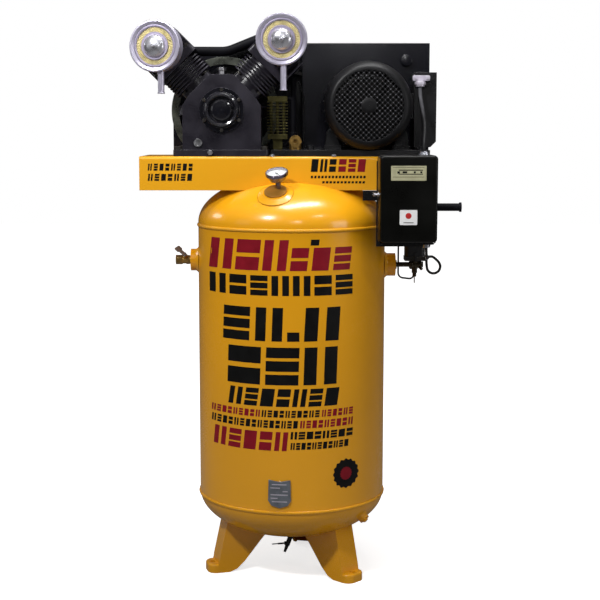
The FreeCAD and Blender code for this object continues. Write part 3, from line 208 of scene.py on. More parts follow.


# Edge amounts and edge colours below lighten edges partly as wear and partly as a painted highlight on lit edges;
# on the aftercooler fins the edge colour is a painted reflection.
FINISHES = {
    "receiver_paint": dict(color=(0.86, 0.385, 0.007), rough=0.26, coat=0.25, patch=2.5, vary=0.05,
                           grain=500, bump=0.05, spread=0.05, edge_wear_highlight_color=(0.95, 0.62, 0.12),
                           edge=0.002),
    "platform_paint": dict(color=(0.90, 0.42, 0.010), rough=0.30, coat=0.15, patch=2.0, vary=0.04,
                           grain=480, bump=0.05, spread=0.06, edge_wear_highlight=0.3,
                           edge_wear_highlight_color=(0.97, 0.68, 0.16), edge=0.002),
    "plug_paint": dict(color=(0.42, 0.20, 0.03), rough=0.45, metal=0.3, patch=30, vary=0.2,
                       grain=300, bump=0.3, edge_wear_highlight_color=(0.7, 0.5, 0.2)),
    # Pump castings: the lighter purple-grey edges are partly wear and partly a painted edge highlight.
    "black_cast": dict(color=(0.009, 0.007, 0.014), rough=0.38, patch=14, vary=0.35, grain=260,
                       bump=0.5, spread=0.2, edge_wear_highlight=0.35, edge_wear_highlight_color=(0.20, 0.18, 0.23)),
    "black_paint": dict(color=(0.007, 0.007, 0.008), rough=0.30, coat=0.1, patch=9, vary=0.25,
                        grain=380, bump=0.14, edge_wear_highlight=0.3, edge_wear_highlight_color=(0.09, 0.09, 0.10)),
    # Gloss black: the lighter grey edges are partly wear and partly a painted reflection along lit edges.
    "gloss_black": dict(color=(0.006, 0.006, 0.009), rough=0.20, coat=0.25, patch=6, vary=0.2,
                        grain=300, bump=0.04, spread=0.08, edge_wear_highlight=0.4,
                        edge_wear_highlight_color=(0.15, 0.15, 0.18)),
    "black_plastic": dict(color=(0.008, 0.008, 0.009), rough=0.42, patch=20, vary=0.2, grain=700,
                          bump=0.3, edge_wear_highlight=0.2, edge_wear_highlight_color=(0.07, 0.07, 0.07)),
    "steel": dict(color=(0.42, 0.42, 0.44), rough=0.33, metal=1.0, patch=40, vary=0.15, grain=600,
                  bump=0.15, edge_wear_highlight=0.4, edge_wear_highlight_color=(0.75, 0.75, 0.76)),
    "zinc": dict(color=(0.62, 0.63, 0.70), rough=0.30, metal=0.85, patch=60, vary=0.15, grain=420,
                 bump=0.15, edge_wear_highlight=0.4, edge_wear_highlight_color=(0.85, 0.85, 0.90)),
    "chrome": dict(color=(0.74, 0.72, 0.84), rough=0.20, metal=1.0, patch=25, vary=0.08, grain=500,
                   bump=0.04, spread=0.08, edge_wear_highlight=0.3, edge_wear_highlight_color=(0.92, 0.92, 0.97)),
    "brass": dict(color=(0.42, 0.25, 0.07), rough=0.36, metal=0.9, patch=50, vary=0.25, grain=400,
                  bump=0.2, edge_wear_highlight=0.5, edge_wear_highlight_color=(0.80, 0.60, 0.30)),
    "cast_alloy": dict(color=(0.45, 0.46, 0.47), rough=0.45, metal=0.8, patch=30, grain=300,
                       bump=0.3),
    "dark_steel": dict(color=(0.060, 0.055, 0.050), rough=0.34, metal=0.7, patch=40, vary=0.25,
                       grain=450, bump=0.2, edge_wear_highlight=0.5, edge_wear_highlight_color=(0.36, 0.34, 0.32)),
    "paper": dict(color=(0.82, 0.71, 0.38), rough=0.75, patch=40, vary=0.25, grain=900, bump=0.5,
                  edge_wear_highlight=0.3, edge_wear_highlight_color=(0.92, 0.86, 0.60), edge=0.0008),
    "rubber": dict(color=(0.008, 0.008, 0.008), rough=0.5, patch=30, vary=0.3, grain=600, bump=0.3,
                   edge_wear_highlight=0.15),
    "grey_cable": dict(color=(0.20, 0.20, 0.22), rough=0.55, patch=30, vary=0.2, grain=600,
                       bump=0.2, edge_wear_highlight=0.1, specular=0.2),
    "clear": dict(color=(0.9, 0.93, 0.95), rough=0.05, patch=30, vary=0.02, bump=0.0, edge_wear_highlight=0.0),
    "dial_white": dict(color=(0.82, 0.82, 0.80), rough=0.5, patch=60, vary=0.05, grain=500,
                       bump=0.1, edge_wear_highlight=0.0),
    "red_plastic": dict(color=(0.50, 0.02, 0.02), rough=0.35, patch=60, bump=0.1),
    "laminations": dict(color=(0.20, 0.18, 0.16), rough=0.45, metal=0.8, patch=40, bump=0.4),
    "ink_red": dict(color=(0.24, 0.004, 0.014), rough=0.45, specular=0.25, patch=30, vary=0.15,
                    grain=500, bump=0.05, edge_wear_highlight=0.0),
    "ink_black": dict(color=(0.003, 0.003, 0.003), rough=0.45, specular=0.2, patch=30, vary=0.3,
                      grain=500, bump=0.05, edge_wear_highlight=0.0),
    # Aftercooler fins: the yellow-green edge colour is a painted reflection of the yellow platform.
    "fins_bronze": dict(color=(0.085, 0.075, 0.022), rough=0.40, metal=0.7, patch=50, vary=0.3,
                        grain=400, bump=0.2, edge_wear_highlight=0.7, edge_wear_highlight_color=(0.55, 0.50, 0.20)),
    "label": dict(color=(0.50, 0.48, 0.30), rough=0.45, metal=0.2, patch=50, vary=0.15, grain=500,
                  bump=0.1, edge_wear_highlight=0.2),
    "sticker": dict(color=(0.88, 0.88, 0.88), rough=0.45, patch=50, vary=0.04, grain=500,
                    bump=0.08, edge_wear_highlight=0.1),
    "machined": dict(color=(0.15, 0.16, 0.135), rough=0.30, metal=0.8, patch=40, vary=0.2, grain=600,
                     bump=0.15, edge_wear_highlight=0.3, edge_wear_highlight_color=(0.4, 0.42, 0.4)),
    "fan_black": dict(color=(0.002, 0.002, 0.002), rough=0.7, patch=30, vary=0.3, grain=400,
                      bump=0.2, edge_wear_highlight=0.2, edge_wear_highlight_color=(0.02, 0.02, 0.02), specular=0.2),
    "bronze_dark": dict(color=(0.050, 0.038, 0.022), rough=0.34, metal=0.8, patch=40, vary=0.25,
                        grain=450, bump=0.2, edge_wear_highlight=0.6, edge_wear_highlight_color=(0.42, 0.36, 0.25)),
    # Lattice studs: a grey much lighter than the cowl, as a painted highlight where the wires cross.
    "stud_grey": dict(color=(0.09, 0.09, 0.10), rough=0.35, metal=0.5, patch=60, vary=0.3,
                      grain=500, bump=0.1, edge_wear_highlight=0.3, edge_wear_highlight_color=(0.3, 0.3, 0.32)),
    "plate_blue": dict(color=(0.20, 0.22, 0.25), rough=0.35, metal=0.7, patch=40, vary=0.2,
                       grain=500, bump=0.15, edge_wear_highlight=0.4, edge_wear_highlight_color=(0.5, 0.52, 0.55)),
    # Starter box: the light grey edges are partly wear and partly a painted highlight of edges lit from the side.
    "starter_paint": dict(color=(0.002, 0.002, 0.0015), rough=0.34, patch=9, vary=0.25, grain=380,
                          bump=0.12, edge_wear_highlight=0.5, edge_wear_highlight_color=(0.16, 0.17, 0.18), specular=0.22),
    "pipe_black": dict(color=(0.004, 0.004, 0.006), rough=0.60, patch=12, vary=0.3, grain=400,
                       bump=0.2, edge_wear_highlight=0.3, edge_wear_highlight_color=(0.10, 0.10, 0.12), specular=0.1),
    # Front cover: the strong lighter edges are partly wear and partly a painted highlight round its ring and
    # bolts.
    "cover_black": dict(color=(0.006, 0.006, 0.009), rough=0.13, coat=0.8, patch=20, vary=0.3,
                        grain=120, bump=0.35, spread=0.08, edge_wear_highlight=0.6,
                        edge_wear_highlight_color=(0.30, 0.28, 0.34)),
    "dome_silver": dict(color=(0.68, 0.68, 0.74), rough=0.30, metal=0.9, patch=60, vary=0.12,
                        grain=500, bump=0.06, edge_wear_highlight=0.4, edge_wear_highlight_color=(0.92, 0.92, 0.97)),
    "cowl_paint": dict(color=(0.003, 0.003, 0.004), rough=0.46, specular=0.3, patch=12, vary=0.25,
                       grain=420, bump=0.15, edge_wear_highlight=0.3, edge_wear_highlight_color=(0.12, 0.12, 0.13)),
    "gauge_chrome": dict(color=(0.24, 0.21, 0.27), rough=0.26, metal=1.0, patch=40, vary=0.15,
                         grain=500, bump=0.08, edge_wear_highlight=0.4, edge_wear_highlight_color=(0.6, 0.58, 0.65)),
    "can_silver": dict(color=(0.60, 0.57, 0.70), rough=0.36, metal=0.65, patch=25, vary=0.08,
                       grain=500, bump=0.06, edge_wear_highlight=0.4, edge_wear_highlight_color=(0.90, 0.90, 0.96), edge=0.0018),
    "flange_satin": dict(color=(0.40, 0.36, 0.49), rough=0.50, metal=0.3, patch=40, vary=0.12,
                         grain=500, bump=0.1, edge_wear_highlight=0.3, edge_wear_highlight_color=(0.75, 0.72, 0.85)),
    "bright_zinc": dict(color=(0.62, 0.58, 0.67), rough=0.38, metal=0.5, patch=60, vary=0.1,
                        grain=420, bump=0.1, edge_wear_highlight=0.4, edge_wear_highlight_color=(0.95, 0.95, 0.98)),
}
MATERIALS = {name: finish_of(name, **values) for name, values in FINISHES.items()}
weld_ripple(MATERIALS["receiver_paint"], WELD_SEAMS)
# The cable's colour goes from grey at 1.59 m to near black at 1.49 m: darker towards the bottom.
fade_down(MATERIALS["grey_cable"], 1.59, 1.49, (0.008, 0.008, 0.009))
glass = MATERIALS["clear"].node_tree.nodes["shader"]
glass.inputs["Alpha"].default_value = 0.12

SLOT_OF = {row["node"]: row["material_slot"] for row in frame["record"]["subparts"]}
FINISH_OF = dict(SLOT_OF, aftercooler="fins_bronze", tank_nameplate="plate_blue",
                 safety_valve="bronze_dark", manifold="bronze_dark",
                 starter_cover="starter_paint", gauge_case="gauge_chrome",
                 filter_cans="can_silver", discharge_pipes="pipe_black", check_valve="brass",
                 front_cover="cover_black")
for name, node in nodes.items():
    node.data.materials.clear()
    node.data.materials.append(MATERIALS[FINISH_OF[name]])
    node.data.shade_smooth()
    node.data.set_sharp_from_angle(angle=math.radians(32))


def repaint(node, material, where):
    """Gives the faces of a CAD node whose middle passes a test their own finish."""
    mesh = nodes[node].data
    mesh.materials.append(MATERIALS[material])
    index = len(mesh.materials) - 1
    for face in mesh.polygons:
        if where(face.center):
            face.material_index = index


def off_axis(point, x, z):
    return math.hypot(point.x - x, point.z - z)


repaint("conduit_fittings", "pipe_black", lambda p: p.x > 0.4485 and p.y < -0.1)
repaint("conduit_fittings", "bright_zinc", lambda p: p.z > 1.58)
repaint("motor_rotor", "fan_black", lambda p: p.y < -0.112)
repaint("flywheel", "machined", lambda p: off_axis(p, *PUMP_AXIS) > RIM_FACE_R)


# ------------------------------------------------------------------ mesh tools

def piece(name, verts, faces, material, body=ROOT, smooth=True):
    mesh = bpy.data.meshes.new(name)
    mesh.from_pydata([tuple(v) for v in verts], [], faces)
    bm = bmesh.new()
    bm.from_mesh(mesh)
    bmesh.ops.recalc_face_normals(bm, faces=bm.faces)
    bm.to_mesh(mesh)
    bm.free()
    obj = bpy.data.objects.new(name, mesh)
    bpy.context.scene.collection.objects.link(obj)
    mesh.materials.append(MATERIALS[material])
    if smooth:
        mesh.shade_smooth()
        mesh.set_sharp_from_angle(angle=math.radians(35))
    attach(obj, body)
    return obj


def turned(base, axis):
    """Matrix that puts local +Z on axis with its origin at base."""
    return Matrix.Translation(Vector(base)) @ Vector(axis).to_track_quat("Z", "Y").to_matrix().to_4x4()


def lathe_data(profile, base, axis=(0, 0, 1), steps=96):
    """Vertices and faces of a closed (radius, height) profile turned round an axis."""
    place = turned(base, axis)
    verts, faces = [], []
    count = len(profile)
    for i in range(steps):
        a = 2 * math.pi * i / steps
        for r, h in profile:
            verts.append(place @ Vector((r * math.cos(a), r * math.sin(a), h)))
    for i in range(steps):
        j = (i + 1) % steps
        for k in range(count):
            m = (k + 1) % count
            faces.append((i * count + k, j * count + k, j * count + m, i * count + m))
    return verts, faces


def prism_data(outline, height, place):
    """A prism on a closed outline in local XY, from local Z 0 to its height, through a matrix."""
    n = len(outline)
    verts = [place @ Vector((x, y, z)) for z in (0, height) for x, y in outline]
    faces = [tuple(range(n))[::-1], tuple(range(n, 2 * n))]
    faces += [(k, (k + 1) % n, n + (k + 1) % n, n + k) for k in range(n)]
    return verts, faces


def joined(parts):
    verts, faces = [], []
    for v, f in parts:
        start = len(verts)
        verts += v
        faces += [tuple(i + start for i in face) for face in f]
    return verts, faces


def circle_outline(radius, count, start=0.0):
    return [(radius * math.cos(start + 2 * math.pi * i / count),
             radius * math.sin(start + 2 * math.pi * i / count)) for i in range(count)]


def rounded_outline(width, height, radius, steps=5):
    """A rectangle with round corners, about the origin."""
    points = []
    for sx, sy, first in ((1, 1, 0), (-1, 1, 90), (-1, -1, 180), (1, -1, 270)):
        for i in range(steps + 1):
            a = math.radians(first + 90 * i / steps)
            points.append((sx * (width / 2 - radius) + radius * math.cos(a),
                           sy * (height / 2 - radius) + radius * math.sin(a)))
    return points


def facing_front(x, y, z):
    """Matrix whose local XY is a front view at (x, y, z), with local +Z toward the viewer."""
    return Matrix.Translation(Vector((x, y, z))) @ Matrix.Rotation(math.radians(90), 4, "X")


# ------------------------------------------------------------------ printed graphics

def block(x0, x1, z0, z1, kind, lean):
    """One abstract block of a printed row: its quads lean to the right as they rise."""
    if kind == "bars":
        third = (x1 - x0) / 2.6
        spans = [(x0, x0 + third, z0, z1), (x1 - third, x1, z0, z1)]
    elif kind == "steps":
        level = (z1 - z0) / 3.6
        spans = [(x0, x1, z, z + level) for z in (z0, z0 + 1.3 * level, z0 + 2.6 * level)]
    elif kind == "split":
        level = (z1 - z0) / 2.3
        spans = [(x0, x1, z0, z0 + level), (x0, x1, z1 - level, z1)]
    else:
        spans = [(x0, x1, z0, z1)]
    quads = []
    for left, right, low, high in spans:
        low_shift = lean * (low - z0) / (z1 - z0)
        high_shift = lean * (high - z0) / (z1 - z0)
        quads.append([(left + low_shift, low), (right + low_shift, low),
                      (right + high_shift, high), (left + high_shift, high)])
    return quads


def block_row(x0, x1, z0, z1, count, lean=6.0, gap=8.0, kinds=("bars", "steps", "solid", "split")):
    """A row of leaning blocks, used as plain decoration in place of lettering."""
    pitch = (x1 - x0 + gap) / count
    quads = []
    for i in range(count):
        left = x0 + pitch * i
        quads += block(left, left + pitch - gap, z0, z1, kinds[i % len(kinds)], lean)
    return quads


def strips(quads, radius=PRINT_R):
    """Each four-cornered block becomes a curved strip that follows the shell."""
    verts, faces = [], []
    for (x0, z0), (x1, _), (x2, z2), (x3, _) in quads:
        steps = max(2, int((x1 - x0) / 6))
        start = len(verts)
        for i in range(steps + 1):
            t = i / steps
            for x, z in ((x0 + (x1 - x0) * t, z0), (x3 + (x2 - x3) * t, z2)):
                x *= MM
                verts.append((x, -math.sqrt(radius ** 2 - x * x), z * MM))
        for i in range(steps):
            k = start + 2 * i
            faces.append((k, k + 2, k + 3, k + 1))
    return verts, faces


def flat_blocks(quads, y):
    """The same blocks on a flat front face."""
    verts = [(x * MM, y, z * MM) for quad in quads for x, z in quad]
    return verts, [tuple(range(4 * i, 4 * i + 4)) for i in range(len(quads))]


def tank_prints():
    red = block_row(-262, -18, 1022, 1117, 3, 10, 12, ("bars", "split", "bars"))
    red += block_row(-6, 180, 1022, 1093, 3, 8, 14, ("split", "solid", "steps"))
    red += block_row(-256, -100, 564, 586, 9, 2, 5) + block_row(94, 192, 564, 586, 6, 2, 5)
    red += block_row(26, 192, 530, 554, 9, 2, 5)
    red += block_row(-250, -16, 458, 518, 5, 6, 10)
    black = block_row(-260, 190, 945, 1007, 7, 0, 12, ("bars", "split", "steps", "bars"))
    black += block_row(-216, -30, 803, 908, 2, 4, 18, ("steps", "bars"))
    black += block(-14, 24, 803, 832, "solid", 0) + block_row(38, 146, 803, 908, 1, 6, 0)
    black += block_row(-202, 140, 666, 784, 3, 4, 16, ("split", "steps", "bars"))
    black += block_row(-200, 142, 598, 654, 7, 8, 10) + block(58, 84, 1100, 1118, "solid", 2)
    black += block_row(-94, 86, 564, 586, 10, 2, 5) + block_row(-256, 18, 530, 554, 15, 2, 5)
    black += block_row(-4, 192, 495, 519, 8, 2, 5) + block_row(-4, 178, 462, 484, 11, 2, 4)
    piece("tank_stripes_red", *strips(red), "ink_red", smooth=False)
    piece("tank_stripes_black", *strips(black), "ink_black", smooth=False)


def platform_prints():
    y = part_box("platform")[0].y - 0.0003
    black = block_row(-452, -312, 1324, 1346, 8, 2, 6) + block_row(-452, -314, 1292, 1314, 7, 2, 6)
    black += block_row(60, 138, 1320, 1360, 3, 4, 7, ("solid", "bars", "split"))
    black += block_row(60, 232, 1300, 1308, 16, 1, 4, ("solid",))
    black += block_row(96, 230, 1284, 1291, 12, 1, 4, ("solid",))
    red = block_row(146, 230, 1320, 1360, 3, 4, 7, ("split", "steps", "solid"))
    piece("platform_stripes_black", *flat_blocks(black, y), "ink_black", smooth=False)
    piece("platform_stripes_red", *flat_blocks(red, y), "ink_red", smooth=False)


def oval_badge():
    """Scalloped black decal with a dark red middle, low on the right of the shell."""
    centre_x, centre_z, half_x, half_z = 172, 374, 40, 46
    for name, material, scale, lift in (("badge_black", "ink_black", 1.0, 0.0003),
                                        ("badge_red", "ink_red", 0.45, 0.0006)):
        radius = TANK_R + lift
        verts, faces = [], []
        for step in range(1, BADGE_RINGS + 1):
            scallop = 0.05 if step == BADGE_RINGS else 0
            for i in range(BADGE_STEPS):
                a = 2 * math.pi * i / BADGE_STEPS
                wave = scale * step / BADGE_RINGS * (1 + scallop * math.cos(16 * a))
                x = (centre_x + half_x * wave * math.cos(a)) * MM
                z = (centre_z + half_z * wave * math.sin(a)) * MM
                verts.append((x, -math.sqrt(radius ** 2 - x ** 2), z))
        for step in range(BADGE_RINGS - 1):
            first = BADGE_STEPS * step
            for i in range(BADGE_STEPS):
                j = (i + 1) % BADGE_STEPS
                faces.append((first + i, first + j, first + BADGE_STEPS + j, first + BADGE_STEPS + i))
        faces.append(tuple(range(BADGE_STEPS)))
        piece(name, verts, faces, material)


def nameplate_lines():
    """Rows of short raised dashes on the shield plate."""
    radius = TANK_R + 0.0058
    quads = []
    for i, (left, right) in enumerate(((-62, -16), (-66, -36), (-28, -12), (-66, -12), (-66, -44),
                                       (-62, -14))):
        z = 350 - 11 * i
        quads.append([(left, z), (right, z), (right, z + 3), (left, z + 3)])
    piece("nameplate_lines", *strips(quads, radius), "bright_zinc", smooth=False)


def starter_labels():
    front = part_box("starter_cover")[0].y - 0.0001
    plate = prism_data(rounded_outline(0.108, 0.045, 0.002), 0.0008,
                       facing_front(0.357, front, 1.320))
    piece("starter_plate", *plate, "label", "starter_door")
    lines = [(308, 404, 1337.5, 1338.7), (326, 400, 1328, 1331), (326, 400, 1316, 1318.5),
             (308, 404, 1308, 1309.2), (322, 330, 1319, 1326), (338, 352, 1320, 1326),
             (372, 378, 1320, 1326), (392, 398, 1320, 1326)]
    quads = [[(a, c), (b, c), (b, d), (a, d)] for a, b, c, d in lines]
    piece("starter_plate_lines", *flat_blocks(quads, front - 0.0009), "ink_black", "starter_door",
          smooth=False)
    card = prism_data(rounded_outline(0.054, 0.046, 0.003), 0.0004,
                      facing_front(0.3575, front, 1.185))
    piece("starter_sticker", *card, "sticker", "starter_door")
    spot = prism_data(circle_outline(0.0092, 32), 0.0002, facing_front(0.3575, front - 0.0004, 1.190))
    piece("starter_spot", *spot, "red_plastic", "starter_door")
    quads = [[(342, 1168), (373, 1168), (373, 1170.5), (342, 1170.5)]]
    piece("starter_sticker_line", *flat_blocks(quads, front - 0.0006), "machined", "starter_door",
          smooth=False)


# ------------------------------------------------------------------ pieces in place of plain CAD shapes

def lattice_bars(radius, pitch, width, depth):
    """Two layers of crossing bars at 45 degrees, cut to a circle about the origin."""
    parts = []
    for layer, angle in enumerate((45, -45)):
        turn = Matrix.Rotation(math.radians(angle), 4, "Z")
        count = int(radius / pitch)
        for i in range(-count, count + 1):
            y = i * pitch
            half = math.sqrt(max(radius ** 2 - (abs(y) + width / 2) ** 2, 0))
            if half < width:
                continue
            outline = [(-half, y - width / 2), (half, y - width / 2), (half, y + width / 2),
                       (-half, y + width / 2)]
            lift = Matrix.Translation(Vector((0, 0, depth * layer * 0.5)))
            parts.append(prism_data(outline, depth, turn @ lift))
    return joined(parts)


def fan_cowl():
    """The cowl's turned shell with a woven lattice of bars over the fan, and a smooth hub."""
    low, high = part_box("fan_cowl")
    centre_x, centre_z = (low.x + high.x) / 2, (low.z + high.z) / 2
    outer = (high.x - low.x) / 2
    depth = high.y - low.y
    profile = [(outer - 0.0055, 0), (outer - 0.002, 0), (outer, 0.008), (outer, 0.040),
               (outer - 0.0014, 0.050), (outer - 0.005, 0.058), (0.124, 0.069), (0.118, 0.0732),
               (0.114, depth - 0.0022), (0.110, depth - 0.0022), (0.110, depth - 0.005),
               (0.114, 0.0706), (0.122, 0.066), (outer - 0.008, 0.057), (outer - 0.0025, 0.040),
               (outer - 0.0025, 0.006)]
    base = (centre_x, high.y, centre_z)
    shell = lathe_data(profile, base, (0, -1, 0), 128)
    place = facing_front(centre_x, high.y - depth + 0.0055, centre_z)
    verts, faces = lattice_bars(LATTICE_R, LATTICE_PITCH, 0.0034, 0.0022)
    bars = ([place @ v for v in verts], faces)
    # Small studs at every other lattice crossing, lighter than the cowl: a painted highlight at the wire
    # crossings.
    studs = []
    step = LATTICE_PITCH * math.sqrt(0.5)
    reach = int(STUD_REACH / step)
    for i in range(-reach, reach + 1):
        for j in range(-reach, reach + 1):
            x, z = i * step, j * step
            if (i + j) % 2 == 0 and HUB_CLEAR < math.hypot(x, z) < STUD_REACH:
                base_at = place @ Vector((x, z, 0.0030))
                studs.append(lathe_data([(0.0002, 0), (0.0022, 0), (0.0017, 0.0009), (0.0002, 0.0013)],
                                        base_at, (0, -1, 0), 8))
    piece("fan_cowl_studs", *joined(studs), "stud_grey")
    hub = lathe_data([(0.0005, depth - 0.006), (0.024, depth - 0.006), (0.024, depth - 0.0018),
                      (0.021, depth - 0.0004), (0.012, depth), (0.0005, depth)], base, (0, -1, 0), 64)
    obj = piece("fan_cowl_lattice", *joined([shell, bars, hub]), "cowl_paint")
    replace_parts(obj, "fan_cowl")


def filters():
    """Pleated paper rings and domed caps, one pair per intake can."""
    pleats, flanges, domes = [], [], []
    folds = 72
    for centre, facing in FILTERS:
        place = turned(centre, facing)
        verts, faces = [], []
        rows = ((0.0405, -0.050), (0.0405, -0.0065), (0.0425, -0.0025), (0.0625, -0.0025),
                (0.0652, -0.0065), (0.0652, -0.050))
        for i in range(2 * folds):
            a = math.pi * i / folds
            dip = 0.0026 * (i % 2)
            for r, h in rows:
                verts.append(place @ Vector((r * math.cos(a), r * math.sin(a), h - dip)))
        size = len(rows)
        for i in range(2 * folds):
            j = (i + 1) % (2 * folds)
            for k in range(size):
                m = (k + 1) % size
                faces.append((i * size + k, j * size + k, j * size + m, i * size + m))
        pleats.append((verts, faces))
        flanges.append(lathe_data([(0.0330, -0.004), (0.0425, -0.004), (0.0432, -0.001),
                                   (0.0415, 0.0016), (0.0380, 0.0010), (0.0345, 0.0022),
                                   (0.0330, 0.0020)], centre, facing))
        flanges.append(lathe_data([(0.0575, -0.005), (0.0653, -0.005), (0.0653, 0.0002),
                                   (0.0615, 0.0010), (0.0575, -0.0010)], centre, facing))
        dome = [(0.0005, -0.056), (0.004, -0.056), (0.004, -0.004), (0.0345, -0.004), (0.0345, 0.003)]
        dome += [(0.0340 * math.cos(math.radians(t)), 0.003 + 0.0185 * math.sin(math.radians(t)))
                 for t in range(8, 81, 9)]
        dome += [(0.0055, 0.0218), (0.0050, 0.0232), (0.0050, 0.0282), (0.0042, 0.029),
                 (0.0005, 0.029)]
        domes.append(lathe_data(dome, centre, facing, 64))
    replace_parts(piece("filter_pleats", *joined(pleats), "paper", smooth=False), "filter_elements")
    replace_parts(piece("filter_flanges", *joined(flanges), "flange_satin"), "filter_caps")
    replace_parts(piece("filter_domes", *joined(domes), "dome_silver"), "filter_caps")


# ------------------------------------------------------------------ small added pieces

def hex_heads():
    """Two bolt heads with washers near the platform's front edge."""
    parts = []
    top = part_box("platform")[1].z
    for x in (0.133, -0.061):
        base = Matrix.Translation(Vector((x, -0.150, top)))
        parts.append(lathe_data([(0.0005, 0), (0.009, 0), (0.009, 0.0016), (0.0005, 0.0016)],
                                (x, -0.150, top), (0, 0, 1), 32))
        parts.append(prism_data(circle_outline(0.0066, 6), 0.0062, base))
    piece("platform_bolts", *joined(parts), "zinc")


def gauge_marks():
    """Ticks round the dial from zero to full, laid on the dial's face."""
    joint = next(j for j in frame["joints"] if j["name"] == "gauge_pointer_turn")
    axis = Vector(joint["axis"]).normalized()
    face = Vector(joint["pos_m"]) - axis * 0.0002
    across = Vector((-axis.y, axis.x, 0)).normalized() * -1
    uphill = axis.cross(across)
    if uphill.z < 0:
        uphill = uphill * -1
    verts, faces = [], []
    for i in range(31):
        a = math.radians(225 - 9 * i)
        out = across * -math.cos(a) + uphill * math.sin(a)
        side = axis.cross(out)
        inner, width = (0.0235, 0.0009) if i % 5 == 0 else (0.0265, 0.0005)
        start = len(verts)
        for r, s in ((inner, -1), (0.0295, -1), (0.0295, 1), (inner, 1)):
            verts.append(face + out * r + side * width * s)
        faces.append(tuple(range(start, start + 4)))
    piece("gauge_marks", verts, faces, "ink_black", smooth=False)


tank_prints()
platform_prints()
oval_badge()
nameplate_lines()
starter_labels()
fan_cowl()
filters()
hex_heads()
gauge_marks()


# ------------------------------------------------------------------ stage, light, camera

FLOOR_GLOW = 0.72
FLOOR_BOUNCE = 0.26
AMBIENT_LOW = 0.02
AMBIENT_HIGH = 0.30
# Name, place, target, width, power and height. A lamp with no height is square.
LAMPS = (
    ("key_high_left", (-1.5, -2.5, 3.3), (0, 0, 1.3), 0.35, 68, 0.25),
    ("front_spot", (0.3, -2.9, 2.3), (0, 0, 1.3), 0.3, 5, 0.2),
    ("right_spot", (1.4, -1.8, 3.1), (0, 0, 1.2), 0.3, 5, 0.2),
    ("left_side", (-2.6, -1.6, 1.9), (0, 0, 1.0), 1.0, 2, None),
    ("right_side", (2.6, -1.6, 1.6), (0, 0, 0.9), 1.0, 12, None),
    ("top", (0.3, -0.5, 3.7), (0, 0, 1.4), 1.6, 62, 0.45),
    ("left_rear", (-2.8, 0.8, 2.2), (0, 0, 1.2), 0.7, 8, 0.5),
)
CAMERA_AT = (0, -4.402, 1.457)
CAMERA_PITCH = 90 - 7.29
CAMERA_LENS = 80.7
CAMERA_SHIFT = 0.014


def floor():
    """Pale floor: a lit white surface that the camera sees fading into the white backdrop."""
    mesh = bpy.data.meshes.new("floor")
    mesh.from_pydata([(-12, -12, 0), (12, -12, 0), (12, 16, 0), (-12, 16, 0)], [], [(0, 1, 2, 3)])
    obj = bpy.data.objects.new("floor", mesh)
    bpy.context.scene.collection.objects.link(obj)
    mat = bpy.data.materials.new("floor_white")
    mat.use_nodes = True
    tree = mat.node_tree
    shader = tree.nodes["Principled BSDF"]
    shader.inputs["Base Color"].default_value = (0.85, 0.85, 0.85, 1)
    shader.inputs["Roughness"].default_value = 0.9
    bounce = tree.nodes.new("ShaderNodeBsdfDiffuse")
    bounce.inputs["Color"].default_value = (FLOOR_BOUNCE, FLOOR_BOUNCE, FLOOR_BOUNCE, 1)
    glow = tree.nodes.new("ShaderNodeEmission")
    place = tree.nodes.new("ShaderNodeTexCoord")
    away = tree.nodes.new("ShaderNodeVectorMath")
    away.operation = "LENGTH"
    far = tree.nodes.new("ShaderNodeMapRange")
    for key, value in (("From Min", 0.5), ("From Max", 2.0), ("To Min", FLOOR_GLOW), ("To Max", 1.0)):
        far.inputs[key].default_value = value
    tree.links.new(place.outputs["Object"], away.inputs[0])
    tree.links.new(away.outputs["Value"], far.inputs["Value"])
    tree.links.new(far.outputs[0], glow.inputs["Strength"])
    lit = tree.nodes.new("ShaderNodeAddShader")
    pick = tree.nodes.new("ShaderNodeMixShader")
    path = tree.nodes.new("ShaderNodeLightPath")
    tree.links.new(shader.outputs[0], lit.inputs[0])
    tree.links.new(glow.outputs[0], lit.inputs[1])
    tree.links.new(path.outputs["Is Camera Ray"], pick.inputs[0])
    tree.links.new(bounce.outputs[0], pick.inputs[1])
    tree.links.new(lit.outputs[0], pick.inputs[2])
    tree.links.new(pick.outputs[0], tree.nodes["Material Output"].inputs["Surface"])
    mesh.materials.append(mat)


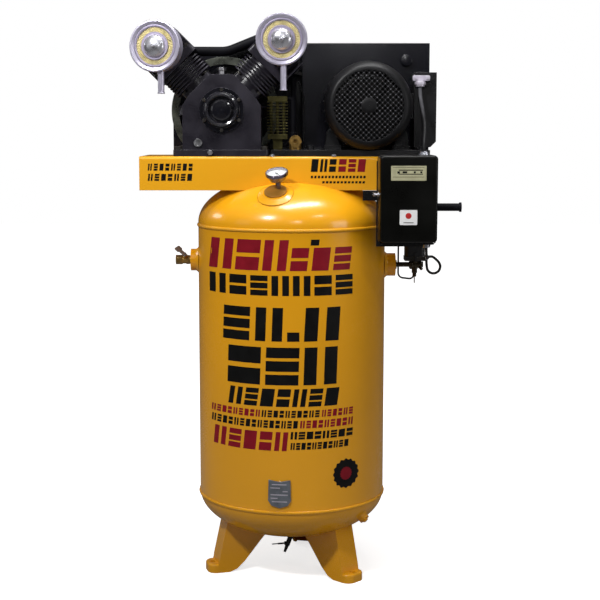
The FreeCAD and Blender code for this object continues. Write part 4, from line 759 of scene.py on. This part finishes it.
def lamp(name, place, target, size, power, size_y=None):
    data = bpy.data.lights.new(name, "AREA")
    data.energy = power
    data.size = size
    if size_y:
        data.shape = "RECTANGLE"
        data.size_y = size_y
    obj = bpy.data.objects.new(name, data)
    obj.location = place
    obj.rotation_euler = (Vector(target) - Vector(place)).to_track_quat("-Z", "Y").to_euler()
    bpy.context.scene.collection.objects.link(obj)


def studio():
    world = bpy.data.worlds.new("studio")
    world.use_nodes = True
    tree = world.node_tree
    tree.nodes.clear()
    out = tree.nodes.new("ShaderNodeOutputWorld")
    backdrop = tree.nodes.new("ShaderNodeBackground")
    ambient = tree.nodes.new("ShaderNodeBackground")
    pick = tree.nodes.new("ShaderNodeMixShader")
    path = tree.nodes.new("ShaderNodeLightPath")
    backdrop.inputs[0].default_value = (1, 1, 1, 1)
    ambient.inputs[0].default_value = (1, 0.98, 0.97, 1)
    place = tree.nodes.new("ShaderNodeTexCoord")
    split = tree.nodes.new("ShaderNodeSeparateXYZ")
    rise = tree.nodes.new("ShaderNodeMapRange")
    for key, value in (("From Min", 0.0), ("From Max", 0.9), ("To Min", AMBIENT_LOW),
                       ("To Max", AMBIENT_HIGH)):
        rise.inputs[key].default_value = value
    tree.links.new(place.outputs["Generated"], split.inputs[0])
    tree.links.new(split.outputs["Z"], rise.inputs["Value"])
    tree.links.new(rise.outputs[0], ambient.inputs[1])
    tree.links.new(path.outputs["Is Camera Ray"], pick.inputs[0])
    tree.links.new(ambient.outputs[0], pick.inputs[1])
    tree.links.new(backdrop.outputs[0], pick.inputs[2])
    tree.links.new(pick.outputs[0], out.inputs[0])
    bpy.context.scene.world = world
    for name, place, target, size, power, size_y in LAMPS:
        lamp(name, place, target, size, power, size_y)
    floor()


def camera():
    data = bpy.data.cameras.new("camera")
    data.sensor_width = 36
    data.lens = CAMERA_LENS
    data.shift_x = CAMERA_SHIFT
    data.clip_end = 100
    obj = bpy.data.objects.new("camera", data)
    obj.location = CAMERA_AT
    obj.rotation_euler = (math.radians(CAMERA_PITCH), 0, 0)
    bpy.context.scene.collection.objects.link(obj)
    bpy.context.scene.camera = obj


studio()
camera()
bpy.context.scene.view_settings.view_transform = "Standard"
